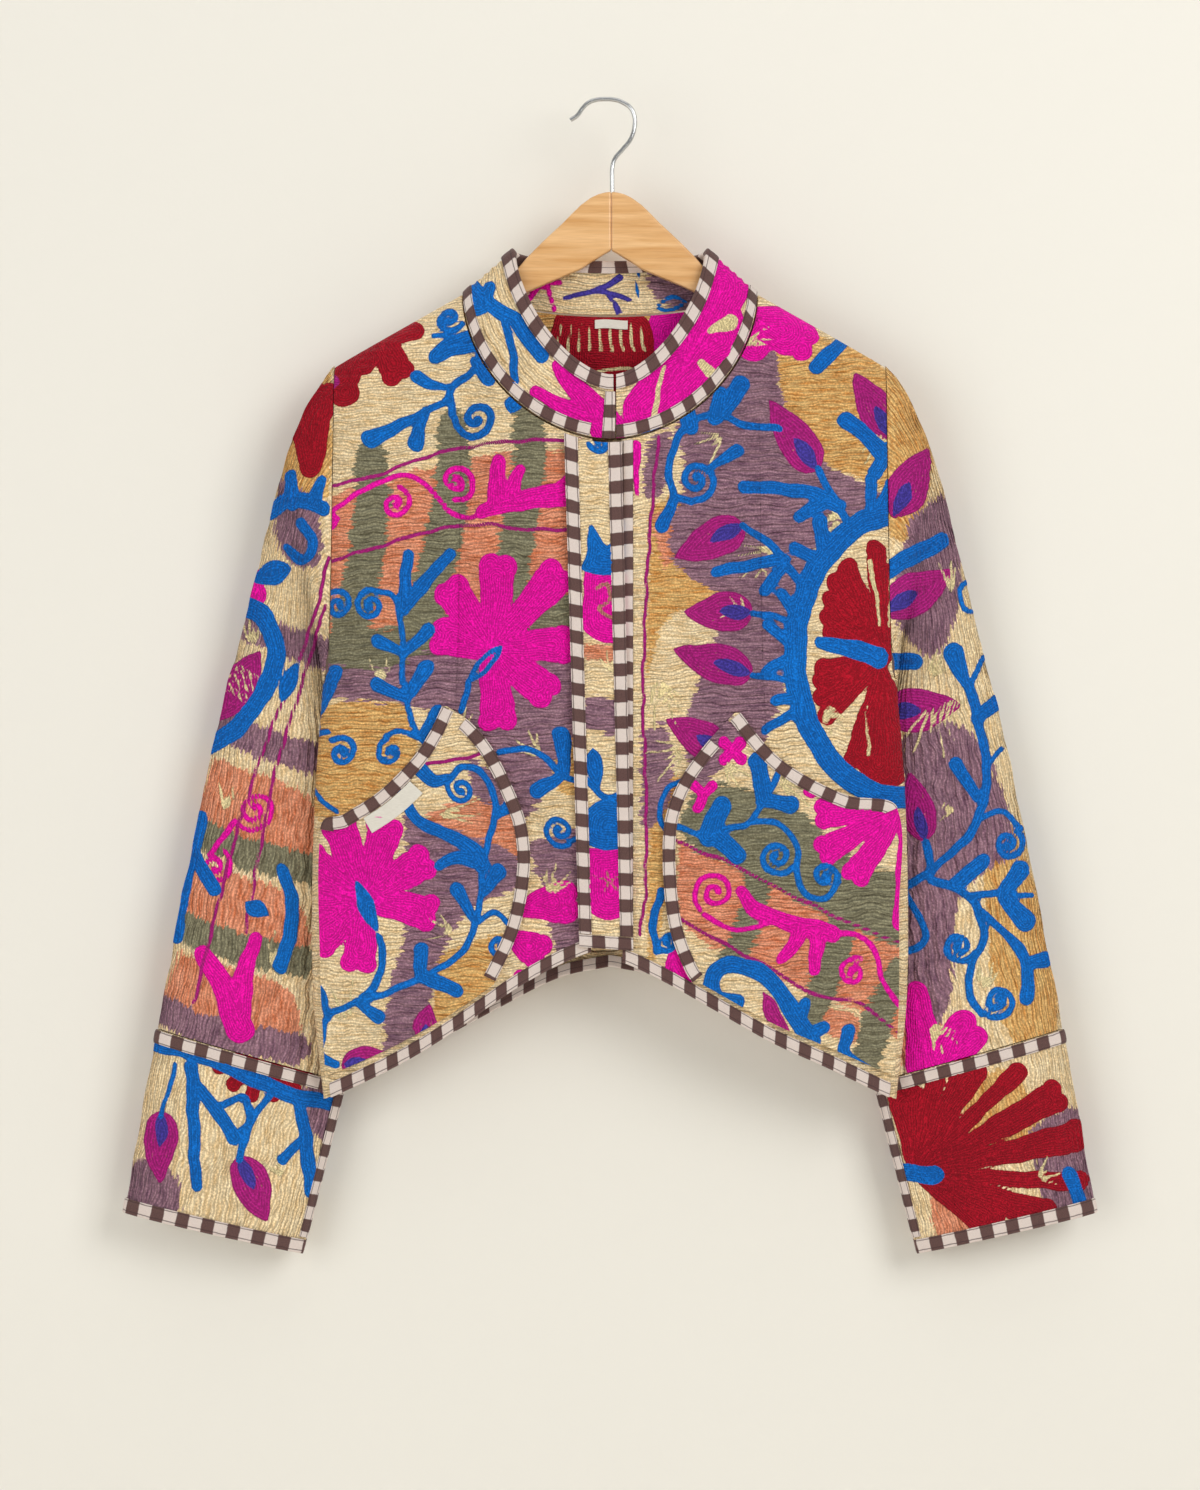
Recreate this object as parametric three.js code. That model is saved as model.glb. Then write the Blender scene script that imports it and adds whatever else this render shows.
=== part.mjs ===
// A quilted cotton jacket on a wooden hanger, hung flat against a wall. Millimetres, +Z up, the front faces -Y.
// The origin is the inner top of the hanger's hook, where the peg or rail that holds it bears.
// The jacket is two fronts, a back, a band collar, a placket, two drop-shoulder sleeves with slit cuffs
// and two patch pockets. Every raw edge is closed by a folded binding tape.
import * as THREE from 'three';

// Driving sizes.
const centreX = 4;              // the garment's centre line, a little beside the hook's top
const clothThick = 2.2;         // layered cotton, quilted by hand
const seamGap = 0.3;            // what neighbouring pieces keep clear of each other
const tapeWidth = 10;
const tapeThick = 1.1;
const tapeBase = 1.0;           // a tape lies a little clear of the cloth's face
const neckHalf = 117;           // half the width of the neck seam at the shoulders
const neckZ = -152.5;           // height of the neck point of the shoulder
const shoulderSlope = 0.56;     // fall of the shoulder line for each mm outwards
const neckDepth = 116;          // how far the neck seam dips at the centre front
const backNeckDip = 16;
const ridgeRadius = 28;         // drop over which the cloth rounds over the hanger's arm
const armholeShare = 0.985;     // the armhole seam, as a share of the body's half width
const underarmZ = -449;

// The hanging body's half width, its depth before and behind the hanger's plane and the power of its
// flattened section, by height. A power of 2 is an ellipse; more is squarer, as over the hanger's arms.
const bodyTable = [
  { z: -150, half: 219, front: 13, back: 13, power: 6 },
  { z: -300, half: 221, front: 24, back: 15, power: 4 },
  { z: -430, half: 224, front: 30, back: 17, power: 3 },
  { z: -560, half: 233, front: 33, back: 18, power: 2.6 },
  { z: -700, half: 234, front: 29, back: 16, power: 2.5 },
  { z: -790, half: 225, front: 24, back: 12, power: 2.5 },
];
// Height of each hem by distance from the centre line. The corners hang lowest, at the side seams.
const rightHem = [
  { x: -30, z: -659 }, { x: 8, z: -665 }, { x: 39, z: -677 }, { x: 75, z: -697 },
  { x: 125, z: -731 }, { x: 170, z: -757 }, { x: 236, z: -787 },
];
const leftHem = [
  { x: -30, z: -668 }, { x: 8, z: -675 }, { x: 39, z: -689 }, { x: 75, z: -709 },
  { x: 125, z: -737 }, { x: 170, z: -757 }, { x: 236, z: -787 },
];
const backHem = [
  { x: 0, z: -681 }, { x: 40, z: -690 }, { x: 90, z: -715 }, { x: 140, z: -741 }, { x: 236, z: -787 },
];

// Value of one named column of a table at x, with smooth joins between its rows.
function lookUp(table, key, column, x) {
  const rows = [...table].sort((a, b) => a[key] - b[key]);
  if (x <= rows[0][key]) return rows[0][column];
  const last = rows.length - 1;
  if (x >= rows[last][key]) return rows[last][column];
  const i = rows.findIndex((row) => row[key] > x) - 1;
  const slope = (k) => {
    const before = rows[Math.max(k - 1, 0)];
    const after = rows[Math.min(k + 1, last)];
    return (after[column] - before[column]) / (after[key] - before[key]);
  };
  const span = rows[i + 1][key] - rows[i][key];
  const t = (x - rows[i][key]) / span;
  const t2 = t * t;
  const t3 = t2 * t;
  return (2 * t3 - 3 * t2 + 1) * rows[i][column] + (t3 - 2 * t2 + t) * span * slope(i)
    + (3 * t2 - 2 * t3) * rows[i + 1][column] + (t3 - t2) * span * slope(i + 1);
}

const mix = (a, b, t) => a + (b - a) * t;
const clamp01 = (t) => Math.min(Math.max(t, 0), 1);
const bodyHalf = (z) => lookUp(bodyTable, 'z', 'half', z);

// The body's section. A place on it is its share of the half width, -1 to 1, and its height.
const shareWidth = 220;         // half width that turns shares into distances at the neck and shoulders
const neckShare = neckHalf / shareWidth;
const shoulderZ = (share) => neckZ - shoulderSlope * (Math.abs(share) * shareWidth - neckHalf);

// Depth of the body's outer face. side is -1 for the fronts and 1 for the back.
function bodyDepth(share, z, side) {
  const power = lookUp(bodyTable, 'z', 'power', z);
  const across = Math.pow(Math.max(1 - Math.pow(Math.abs(share), power), 0), 1 / power);
  const below = clamp01((shoulderZ(share) - z) / ridgeRadius);
  const overArm = Math.sqrt(1 - (1 - below) * (1 - below));
  const depth = lookUp(bodyTable, 'z', side < 0 ? 'front' : 'back', z);
  return side * (depth * across * overArm + seamGap / 2);
}

// Soft folds that hang from the shoulders and the neck: where, how wide, how deep and between which heights.
const bodyFolds = [
  { side: -1, x: -168, lean: 0.06, wide: 30, deep: 3.4, top: -330, bottom: -800 },
  { side: -1, x: -96, lean: -0.04, wide: 26, deep: 2.2, top: -420, bottom: -760 },
  { side: -1, x: 88, lean: 0.05, wide: 28, deep: 2.6, top: -400, bottom: -770 },
  { side: -1, x: 176, lean: -0.05, wide: 30, deep: 3.2, top: -310, bottom: -800 },
  { side: 1, x: -150, lean: 0.05, wide: 36, deep: 3.2, top: -300, bottom: -800 },
  { side: 1, x: -52, lean: -0.03, wide: 30, deep: 2.4, top: -360, bottom: -760 },
  { side: 1, x: 60, lean: 0.04, wide: 32, deep: 2.8, top: -340, bottom: -760 },
  { side: 1, x: 158, lean: -0.04, wide: 34, deep: 3.0, top: -290, bottom: -800 },
];
function foldDepth(x, z, side) {
  let sum = 0;
  for (const fold of bodyFolds) {
    if (fold.side !== side) continue;
    const along = clamp01((fold.top - z) / 120) * clamp01((z - fold.bottom) / 60);
    const off = (x - fold.x - fold.lean * (fold.top - z)) / fold.wide;
    sum += fold.deep * along * Math.exp(-off * off);
  }
  return side * sum;
}

// A point of the body's outer face, by the angle whose sine is its share of the half width.
function bodyPoint(turn, z, side) {
  const share = Math.sin(turn);
  const x = share * bodyHalf(z);
  const fold = foldDepth(x, z, side) * (1 - Math.pow(share, 6));
  return new THREE.Vector3(centreX + x, bodyDepth(share, z, side) + fold, z);
}
const turnOf = (x, z) => Math.asin(Math.min(Math.max(x / bodyHalf(z), -1), 1));

// A point at a height above the body's outer face, measured square to it.
function onBody(turn, z, side, height) {
  const small = 1e-3;
  const quarter = Math.PI / 2;
  const left = bodyPoint(Math.max(turn - small, -quarter), z, side);
  const right = bodyPoint(Math.min(turn + small, quarter), z, side);
  const top = bodyPoint(turn, Math.min(z + small, shoulderZ(Math.sin(turn))), side);
  const normal = right.sub(left).cross(top.sub(bodyPoint(turn, z - small, side))).normalize();
  const point = bodyPoint(turn, z, side).addScaledVector(normal, side < 0 ? height : -height);
  // The fronts and the back keep to their own sides of the plane through the seams.
  point.y = side * Math.max(side * point.y, seamGap / 2);
  return point;
}

// Closed solids from grids of points

// Triangles between two runs of points that start and end side by side.
function zip(out, a, b) {
  let i = 0;
  let j = 0;
  while (i < a.length - 1 || j < b.length - 1) {
    const nextA = (i + 1) / (a.length - 1);
    const nextB = (j + 1) / (b.length - 1);
    if (j === b.length - 1 || (i < a.length - 1 && nextA <= nextB)) {
      out.push(a[i], b[j], a[i + 1]);
      i += 1;
    } else {
      out.push(a[i], b[j], b[j + 1]);
      j += 1;
    }
  }
}

// The two triangles of every cell of a grid[row][column].
function fillGrid(out, grid, flip) {
  for (let r = 0; r < grid.length - 1; r += 1) {
    for (let c = 0; c < grid[r].length - 1; c += 1) {
      const [a, b, d, e] = [grid[r][c], grid[r][c + 1], grid[r + 1][c], grid[r + 1][c + 1]];
      if (flip) out.push(a, b, e, a, e, d);
      else out.push(a, e, b, a, d, e);
    }
  }
}

// A cloth wall between an outer and an inner grid, whose edges run side by side but may differ in count.
// A ring grid closes on itself, so its last column repeats its first.
function wallGeometry(outer, inner, { ring = false, flip = false } = {}) {
  const corners = [];
  fillGrid(corners, outer, flip);
  fillGrid(corners, inner, !flip);
  const column = (grid, c) => grid.map((row) => row[c]);
  const rim = [];
  zip(rim, outer[0], inner[0]);
  zip(rim, inner[inner.length - 1], outer[outer.length - 1]);
  if (!ring) {
    zip(rim, column(inner, 0), column(outer, 0));
    zip(rim, column(outer, outer[0].length - 1), column(inner, inner[0].length - 1));
  }
  for (let i = 0; i < rim.length; i += 3) {
    if (flip) corners.push(rim[i], rim[i + 1], rim[i + 2]);
    else corners.push(rim[i], rim[i + 2], rim[i + 1]);
  }
  return new THREE.BufferGeometry().setFromPoints(corners);
}

const steps = (count) => Array.from({ length: count + 1 }, (_, i) => i / count);

// A cloth wall on a surface at(u, v, height), with v running down its rows and u across its columns.
// The inner face is one thickness behind the outer one. The quilting's own ridges are left to the look.
function sheetGeometry(at, { across, down, innerAcross = across, innerDown = down, flip = false,
  top = 0, thick = clothThick, ring = false, rowsOf = steps }) {
  const grid = (columns, rows, height) => rowsOf(rows).map((v) => {
    const row = steps(columns).map((u) => at(u, v, height));
    if (ring) row[columns] = row[0];
    return row;
  });
  const outer = grid(across, down, top);
  const inner = grid(innerAcross, innerDown, top - thick);
  return wallGeometry(outer, inner, { ring, flip });
}

// The same surface with heights measured square to a plain surface f(u, v).
function raised(f, outward) {
  const small = 1e-3;
  return (u, v, height) => {
    const du = f(u + small, v).sub(f(u - small, v));
    const dv = f(u, v + small).sub(f(u, v - small));
    return f(u, v).addScaledVector(du.cross(dv).normalize(), outward * height);
  };
}

// A binding tape along an edge. at(t, w, height) is the place w inwards from the edge and a height above
// the cloth's outer face. A folded tape wraps round the edge; a flat one only lies on the face.
function tapeGeometry(at, count, { folded = true, flip = false, from = 0, wide = tapeWidth,
  base = tapeBase, behind = clothThick + 0.5, edgeGap = seamGap } = {}) {
  const over = base + tapeThick;
  const section = folded
    ? [[wide, over], [wide, base], [-edgeGap, base], [-edgeGap, -behind], [wide * 0.8, -behind],
      [wide * 0.8, -behind - tapeThick], [-edgeGap - tapeThick, -behind - tapeThick],
      [-edgeGap - tapeThick, over]]
    : [[from + wide, over], [from + wide, base], [from, base], [from, over]];
  const rings = steps(count).map((t) => section.map(([w, height]) => at(t, w, height)));
  const corners = [];
  const sides = rings.map((ringPoints) => [...ringPoints, ringPoints[0]]);
  fillGrid(corners, sides, flip);
  // Each end is closed by quads between the section's points, which face each other across the tape.
  const pairs = folded ? [[0, 1, 2, 7], [7, 2, 3, 6], [6, 3, 4, 5]] : [[0, 1, 2, 3]];
  for (const [ringPoints, turned] of [[rings[0], !flip], [rings[count], flip]]) {
    for (const pair of pairs) {
      const [a, b, c, d] = pair.map((k) => ringPoints[k]);
      if (turned) corners.push(a, b, c, a, c, d);
      else corners.push(a, c, b, a, d, c);
    }
  }
  return new THREE.BufferGeometry().setFromPoints(corners);
}

const jacket = new THREE.Group();

function addPiece(name, geometry, finish) {
  const mesh = new THREE.Mesh(geometry, finish);
  mesh.name = name;
  jacket.add(mesh);
  return mesh;
}
const finishOf = (color, roughness, metalness = 0) => (
  new THREE.MeshStandardMaterial({ color, roughness, metalness })
);
const quiltCloth = finishOf('#d8bd85', 0.9);
const tapeCloth = finishOf('#6b4a47', 0.85);
const labelCloth = finishOf('#cfcac6', 0.8);
const beech = finishOf('#cf9a5c', 0.45);
const steel = finishOf('#c4c6c8', 0.2, 1);

// Fronts and back
const inset = seamGap / 2;
const sideLimit = (z) => mix(1, armholeShare, clamp01((z - underarmZ) / 12 + 1));

// The rows crowd together at the top, where the cloth rounds over the hanger's arms, and one row ends
// just under the armhole.
const panelFoot = lookUp(backHem, 'x', 'z', bodyHalf(-720));
const rowAt = (z) => (z - shoulderZ(1)) / (panelFoot - shoulderZ(1));
const ridgeRows = [0, 0.005, 0.012, 0.022, 0.036];
function panelRows(count) {
  const above = Math.round(count * 0.4);
  return [...ridgeRows, ...steps(above).map((t) => mix(0.056, rowAt(underarmZ), t)),
    ...steps(count - above).map((t) => mix(rowAt(underarmZ - 12), 1, t))];
}

// Height of the front neck seam and its share of the half width, by an angle from the shoulder to the centre.
const neckPower = 1.85;
const curve = (value, power) => Math.sign(value) * Math.pow(Math.abs(value), 2 / power);
const neckSeamShare = (angle) => neckShare * curve(Math.cos(angle), neckPower);
const neckSeamZ = (angle) => neckZ - neckDepth * curve(Math.sin(angle), neckPower);
const angleAt = (x) => Math.acos(Math.pow(x / neckHalf, neckPower / 2));
const backNeckZ = (share) => neckZ - backNeckDip * (1 - Math.pow(share / neckShare, 2));

// A front runs from its side seam (u = 0) over the shoulder to the neck and then to the centre (u = 1).
// rise lifts a place straight up from where its row lies.
const neckStart = 0.4;
function onFrontPanel(hand, hem, edgeX) {
  const lastAngle = angleAt(edgeX);
  return (u, v, height, rise = 0) => {
    const onShoulder = u < neckStart;
    const turn = mix(Math.PI / 2, Math.asin(neckShare), clamp01(u / neckStart));
    const angle = mix(0, lastAngle, clamp01((u - neckStart) / (1 - neckStart)));
    const plainShare = onShoulder ? Math.sin(turn) : neckSeamShare(angle);
    const topZ = (onShoulder ? shoulderZ(plainShare) : neckSeamZ(angle)) - inset;
    const z = mix(topZ, lookUp(hem, 'x', 'z', plainShare * bodyHalf(-720)), v) + rise;
    const share = plainShare * (onShoulder ? mix(sideLimit(z), 1, u / neckStart) : 1);
    return onBody(hand * Math.asin(share), z, -1, height);
  };
}
// The back runs from its right side seam (u = 0) to its left one.
function onBackPanel(u, v, height, rise = 0) {
  const out = Math.abs(u * 2 - 1);
  const past = clamp01(out * 2 - 1);                      // 0 at the neck point, 1 at the armhole
  const plainShare = out < 0.5 ? neckShare * out * 2
    : Math.sin(mix(Math.asin(neckShare), Math.PI / 2, past));
  const topZ = (out < 0.5 ? backNeckZ(plainShare) : shoulderZ(plainShare)) - inset;
  const z = mix(topZ, lookUp(backHem, 'x', 'z', plainShare * bodyHalf(-720)), v) + rise;
  const share = plainShare * mix(1, sideLimit(z), past);
  return onBody(Math.sign(u * 2 - 1) * Math.asin(share), z, 1, height);
}

const frontEdge = { right: 14, left: 9 };   // the right front stops under the placket, short of the centre
const onFrontRight = onFrontPanel(-1, rightHem, frontEdge.right);
const onFrontLeft = onFrontPanel(1, leftHem, frontEdge.left);
const panelColumns = 20;
const panelGrid = { across: panelColumns, down: 22, innerDown: 9, rowsOf: panelRows };
addPiece('front_right', sheetGeometry(onFrontRight, panelGrid), quiltCloth);
addPiece('front_left', sheetGeometry(onFrontLeft, { ...panelGrid, flip: true }), quiltCloth);
addPiece('back', sheetGeometry(onBackPanel, { ...panelGrid, flip: true }), quiltCloth);

// Collar: a band between the neck seam and its own top edge, open at the centre front

// The band runs from its right front end round the back of the neck to its left front end. A stretch has
// the seam and top edge on the fronts by the angle of the neck seam, and on the back by share of the neck.
const collarTop = { half: 76, sideZ: -119, frontDrop: 100, frontY: -20, backY: 13, backZ: -126 };
const collarEndX = { right: -2.6, left: 4.8 };  // the right end carries on past the centre
const collarBelly = 2.5;
function collarEdges(u) {
  const frontShare = 0.34;
  const seam = new THREE.Vector3();
  const top = new THREE.Vector3();
  if (u < frontShare || u > 1 - frontShare) {
    const hand = u < 0.5 ? -1 : 1;
    const endX = u < 0.5 ? collarEndX.right : collarEndX.left;
    const along = Math.min(u, 1 - u) / frontShare;        // 0 at the centre front, 1 at the shoulder
    // Past the centre the seam runs on level, at the height it has there.
    const lastAngle = endX > 0 ? angleAt(endX) : Math.PI / 2;
    const extra = endX < 0 ? -endX : 0;
    const level = extra / 170;
    const angle = lastAngle * (1 - clamp01((along - level) / (1 - level)));
    const past = extra ? extra * Math.max(1 - along / level, 0) : 0;
    const z = neckSeamZ(angle);
    const turn = Math.asin(neckSeamShare(angle));
    seam.copy(onBody(hand * turn - hand * past / shareWidth, z, -1, -clothThick / 2));
    const end = Math.max(endX, 0);
    const least = curve(Math.cos(lastAngle), 1.6);
    const round = (curve(Math.cos(angle), 1.6) - least) / (1 - least);
    const x = hand * (mix(end, collarTop.half, round) - past);
    const drop = collarTop.frontDrop * curve(Math.sin(angle), 1.6);
    top.set(centreX + x, collarTop.frontY * Math.sqrt(Math.sin(angle)), collarTop.sideZ - drop);
  } else {
    const across = (u - frontShare) / (1 - 2 * frontShare) * 2 - 1;
    const share = neckShare * Math.sin(across * Math.PI / 2);
    seam.copy(onBody(Math.asin(share), backNeckZ(share), 1, -clothThick / 2));
    const round = Math.cos(across * Math.PI / 2);
    top.set(
      centreX + collarTop.half * Math.sin(across * Math.PI / 2),
      collarTop.backY * Math.pow(round, 0.6),
      mix(collarTop.sideZ, collarTop.backZ, round),
    );
  }
  return { seam, top };
}
// v runs from the top edge (0) down to the neck seam (1).
function collarPlain(u, v) {
  const { seam, top } = collarEdges(u);
  const width = seam.distanceTo(top);
  const clear = 1.5;
  const point = top.lerp(seam, v * (1 - clear / width));
  const out = new THREE.Vector3(point.x - centreX, 0, 0).normalize();
  const belly = collarBelly * Math.sin(Math.PI * v);
  point.addScaledVector(out, belly * Math.abs(Math.sin(2 * Math.PI * u)) / 2);
  point.y -= belly * Math.cos(2 * Math.PI * u) / 2;
  return point;
}
const onCollar = raised(collarPlain, 1);
const collarColumns = 50;
addPiece('collar', sheetGeometry(onCollar, {
  across: collarColumns, down: 4, innerDown: 2, flip: true, top: clothThick / 2,
}), quiltCloth);

// Sleeves and cuffs

// A sleeve's rings run from the armhole (v = 0) to the cuff (v = 1). A ring's outer edge and inner edge are
// measured from the centre line; half is the half depth of its flattened section between them.
const sleeveTable = [
  { v: 0.06, outX: 238, outZ: -233, inX: 226, inZ: -447, outY: 1, inY: 6, half: 13 },
  { v: 0.14, outX: 252, outZ: -272, inX: 227, inZ: -452, outY: 4, inY: 16, half: 16 },
  { v: 0.24, outX: 267, outZ: -322, inX: 218, inZ: -490, outY: 10, inY: 27, half: 17 },
  { v: 0.38, outX: 286, outZ: -398, inX: 200, inZ: -560, outY: 16, inY: 33, half: 17 },
  { v: 0.52, outX: 305, outZ: -470, inX: 193, inZ: -612, outY: 19, inY: 34, half: 17 },
  { v: 0.66, outX: 322, outZ: -545, inX: 192, inZ: -662, outY: 18, inY: 33, half: 17 },
  { v: 0.80, outX: 337, outZ: -622, inX: 196, inZ: -710, outY: 17, inY: 31, half: 16 },
  { v: 0.92, outX: 349, outZ: -685, inX: 203, inZ: -748, outY: 16, inY: 29, half: 15 },
  { v: 1.00, outX: 358, outZ: -731, inX: 206, inZ: -775, outY: 16, inY: 28, half: 16 },
];
const cuffHem = { outX: 384.5, outZ: -876, inX: 240, inZ: -910, outY: 18, inY: 26, half: 13 };
const sleeveTop = sleeveTable[sleeveTable.length - 1];

// A point of a flattened ring, by the angle from its outer edge round its front to its inner edge.
function ringPoint(ring, angle, hand) {
  const inward = (1 - Math.cos(angle)) / 2;
  return new THREE.Vector3(
    centreX + hand * mix(ring.outX, ring.inX, inward),
    mix(ring.outY, ring.inY, inward) - ring.half * Math.sin(angle),
    mix(ring.outZ, ring.inZ, inward),
  );
}
function sleeveRing(v) {
  return Object.fromEntries(Object.keys(sleeveTop).map((key) => [key, lookUp(sleeveTable, 'v', key, v)]));
}
// The armhole's ring lies just outside the edges of the front and the back.
const armholeGap = 0.6;
function armholePoint(angle, hand) {
  const inward = (1 - Math.cos(angle)) / 2;
  const z = mix(shoulderZ(armholeShare), underarmZ - 12, inward);
  const share = sideLimit(z);
  const side = Math.sin(angle) < 0 ? 1 : -1;
  const inSeam = Math.abs(Math.sin(angle)) < 1e-6 ? 0 : 1;
  return new THREE.Vector3(
    centreX + hand * (sideLimit(z - 20) * bodyHalf(z) + armholeGap), inSeam * bodyDepth(share, z, side), z,
  );
}
const sleeveBlend = 0.14;
const sleeveFolds = [
  { angle: 0.9, wide: 0.28, deep: 2.6, lean: 0.5 },
  { angle: 1.9, wide: 0.3, deep: 2.0, lean: -0.4 },
  { angle: 4.2, wide: 0.35, deep: 3.0, lean: 0.3 },
];
function sleevePlain(u, v, hand) {
  const angle = u * 2 * Math.PI;
  const t = clamp01(v / sleeveBlend);
  const point = armholePoint(angle, hand).lerp(ringPoint(sleeveRing(v), angle, hand), t * t * (3 - 2 * t));
  const along = Math.sin(Math.PI * clamp01((v - 0.1) / 0.9));
  for (const fold of sleeveFolds) {
    const off = (((angle + 2 * Math.PI) % (2 * Math.PI)) - fold.angle - fold.lean * (v - 0.5)) / fold.wide;
    point.y -= Math.sign(Math.sin(fold.angle)) * fold.deep * along * Math.exp(-off * off);
  }
  return point;
}
function onSleeve(hand) {
  const above = raised((u, v) => sleevePlain(u, v, hand), hand);
  return (u, v, height) => {
    const point = above(u, v, height);
    // The armhole's own ring is flat against the body, whatever way the sleeve leaves it.
    if (v === 0) point.x = armholePoint(u * 2 * Math.PI, hand).x;
    return point;
  };
}
function sleevePiece(hand) {
  return sheetGeometry(onSleeve(hand), {
    across: 28, down: 11, innerAcross: 18, innerDown: 9, ring: true, flip: hand > 0,
  });
}

// A cuff is slit along its inner edge, so its sections stop short of there on both faces.
const slitAngle = 0.34;
const cuffTurn = (u) => mix(-(Math.PI - slitAngle), Math.PI - slitAngle, u);
const cuffAround = 318;         // length round a cuff from slit to slit
const cuffLong = 140;           // length from its top seam to its hem
const cuffSeamGap = 0.8;
const cuffColumns = 26;
function cuffPlain(u, v, hand) {
  const t = cuffSeamGap / cuffLong + v * (1 - cuffSeamGap / cuffLong);
  return ringPoint(sleeveTop, cuffTurn(u), hand).lerp(ringPoint(cuffHem, cuffTurn(u), hand), t);
}
const onCuff = (hand) => raised((u, v) => cuffPlain(u, v, hand), hand);
function cuffPiece(hand) {
  return sheetGeometry(onCuff(hand), { across: cuffColumns, down: 4, innerDown: 3, flip: hand > 0 });
}

for (const [side, hand] of [['right', -1], ['left', 1]]) {
  addPiece(`sleeve_${side}`, sleevePiece(hand), quiltCloth);
  addPiece(`cuff_${side}`, cuffPiece(hand), quiltCloth);
}

// Placket and pockets, laid on the fronts

// A patch is a sheet over the fronts between two edges given by named rows, at one height above them.
const onFront = (x, z, height) => onBody(turnOf(x, z), z, -1, height);
const placketLift = 2.2;        // clear of the tape along the left front's edge
const placketTop = { rightX: -36, leftX: 9 };
const placketFoot = { rightX: -24, leftX: 18, rightZ: -664, leftZ: -667 };
function onPlacket(u, v, height) {
  const x = mix(mix(placketTop.rightX, placketFoot.rightX, v), mix(placketTop.leftX, placketFoot.leftX, v), u);
  const top = neckSeamZ(angleAt(Math.abs(x))) - 2.5;
  const z = mix(top, mix(placketFoot.rightZ, placketFoot.leftZ, u), v);
  return onFront(x, z, placketLift + clothThick + height);
}
addPiece('placket', sheetGeometry(onPlacket, { across: 6, down: 20, innerDown: 14, innerAcross: 4 }), quiltCloth);

// A pocket's side edge runs from its peak along the slanting opening and then down near the side seam.
// Its inner edge runs from the peak down to the hem.
const pocketLift = 0.95;
const rightPocket = [
  { v: 0, sideX: -131, sideZ: -477, innerX: -127, innerZ: -477 },
  { v: 0.12, sideX: -141, sideZ: -498, innerX: -109, innerZ: -489 },
  { v: 0.24, sideX: -155, sideZ: -519, innerX: -92, innerZ: -509 },
  { v: 0.36, sideX: -179, sideZ: -543, innerX: -76, innerZ: -540 },
  { v: 0.48, sideX: -207, sideZ: -561, innerX: -65, innerZ: -570 },
  { v: 0.60, sideX: -225, sideZ: -573, innerX: -62.5, innerZ: -603 },
  { v: 0.80, sideX: -226, sideZ: -680, innerX: -71, innerZ: -650 },
  { v: 1, sideX: -222, sideZ: -768, innerX: -93, innerZ: -698 },
];
const leftPocket = [
  { v: 0, sideX: 101, sideZ: -482, innerX: 97, innerZ: -482 },
  { v: 0.12, sideX: 121, sideZ: -507, innerX: 74, innerZ: -507 },
  { v: 0.24, sideX: 144, sideZ: -526, innerX: 54.5, innerZ: -534 },
  { v: 0.36, sideX: 183, sideZ: -546, innerX: 42.7, innerZ: -565 },
  { v: 0.48, sideX: 223, sideZ: -556, innerX: 41, innerZ: -604 },
  { v: 0.70, sideX: 225, sideZ: -640, innerX: 46.6, innerZ: -651 },
  { v: 0.86, sideX: 225, sideZ: -710, innerX: 58, innerZ: -682 },
  { v: 1, sideX: 222, sideZ: -767, innerX: 66, innerZ: -694 },
];
const pocketSide = (table) => (v) => [lookUp(table, 'v', 'sideX', v), lookUp(table, 'v', 'sideZ', v)];
const pocketInner = (table) => (v) => [lookUp(table, 'v', 'innerX', v), lookUp(table, 'v', 'innerZ', v)];
function onPocket(table, hem) {
  const side = pocketSide(table);
  const inner = pocketInner(table);
  return (u, v, height) => {
    const [sideX, sideZ] = side(v);
    const [innerX, innerZ] = inner(v);
    const x = mix(sideX, innerX, u);
    // The pocket's foot follows the hem; higher rows are straight.
    const straight = mix(sideZ, innerZ, u);
    const foot = lookUp(hem, 'x', 'z', Math.abs(x)) + tapeWidth + 4;
    const z = mix(straight, Math.max(straight, foot), v) + (v === 1 ? foot - Math.max(straight, foot) : 0);
    return onFront(x, z, pocketLift + clothThick + height);
  };
}
for (const [side, table, hem, flip] of [['right', rightPocket, rightHem, false], ['left', leftPocket, leftHem, true]]) {
  addPiece(`pocket_${side}`, sheetGeometry(onPocket(table, hem), {
    across: 12, down: 14, innerDown: 12, flip,
  }), quiltCloth);
}

// Binding tapes

// Hem tapes, one to each front and one to the back. They follow the columns of their panels and stop
// where the body closes at its side seams.
const hemTape = (panel, from, to, flip) => tapeGeometry(
  (t, w, height) => panel(mix(from, to, t), 1, height, w), Math.round(panelColumns * (to - from)), { flip },
);
addPiece('hem_tape_right', hemTape(onFrontRight, 0.1, 1, false), tapeCloth);
addPiece('hem_tape_left', hemTape(onFrontLeft, 0.1, 1, true), tapeCloth);
addPiece('hem_tape_back', hemTape(onBackPanel, 0.05, 0.95, true), tapeCloth);

// Shoulder tapes lie along the shoulder seams, just behind the ridge.
for (const [side, hand] of [['right', -1], ['left', 1]]) {
  const at = (t, w, height) => {
    const share = mix(neckShare + 0.012, 0.965, t);
    return onBody(hand * Math.asin(share), shoulderZ(share) - 1.5 - w, 1, height);
  };
  addPiece(`shoulder_tape_${side}`, tapeGeometry(at, 8, { folded: false, flip: hand < 0 }), tapeCloth);
}

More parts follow.
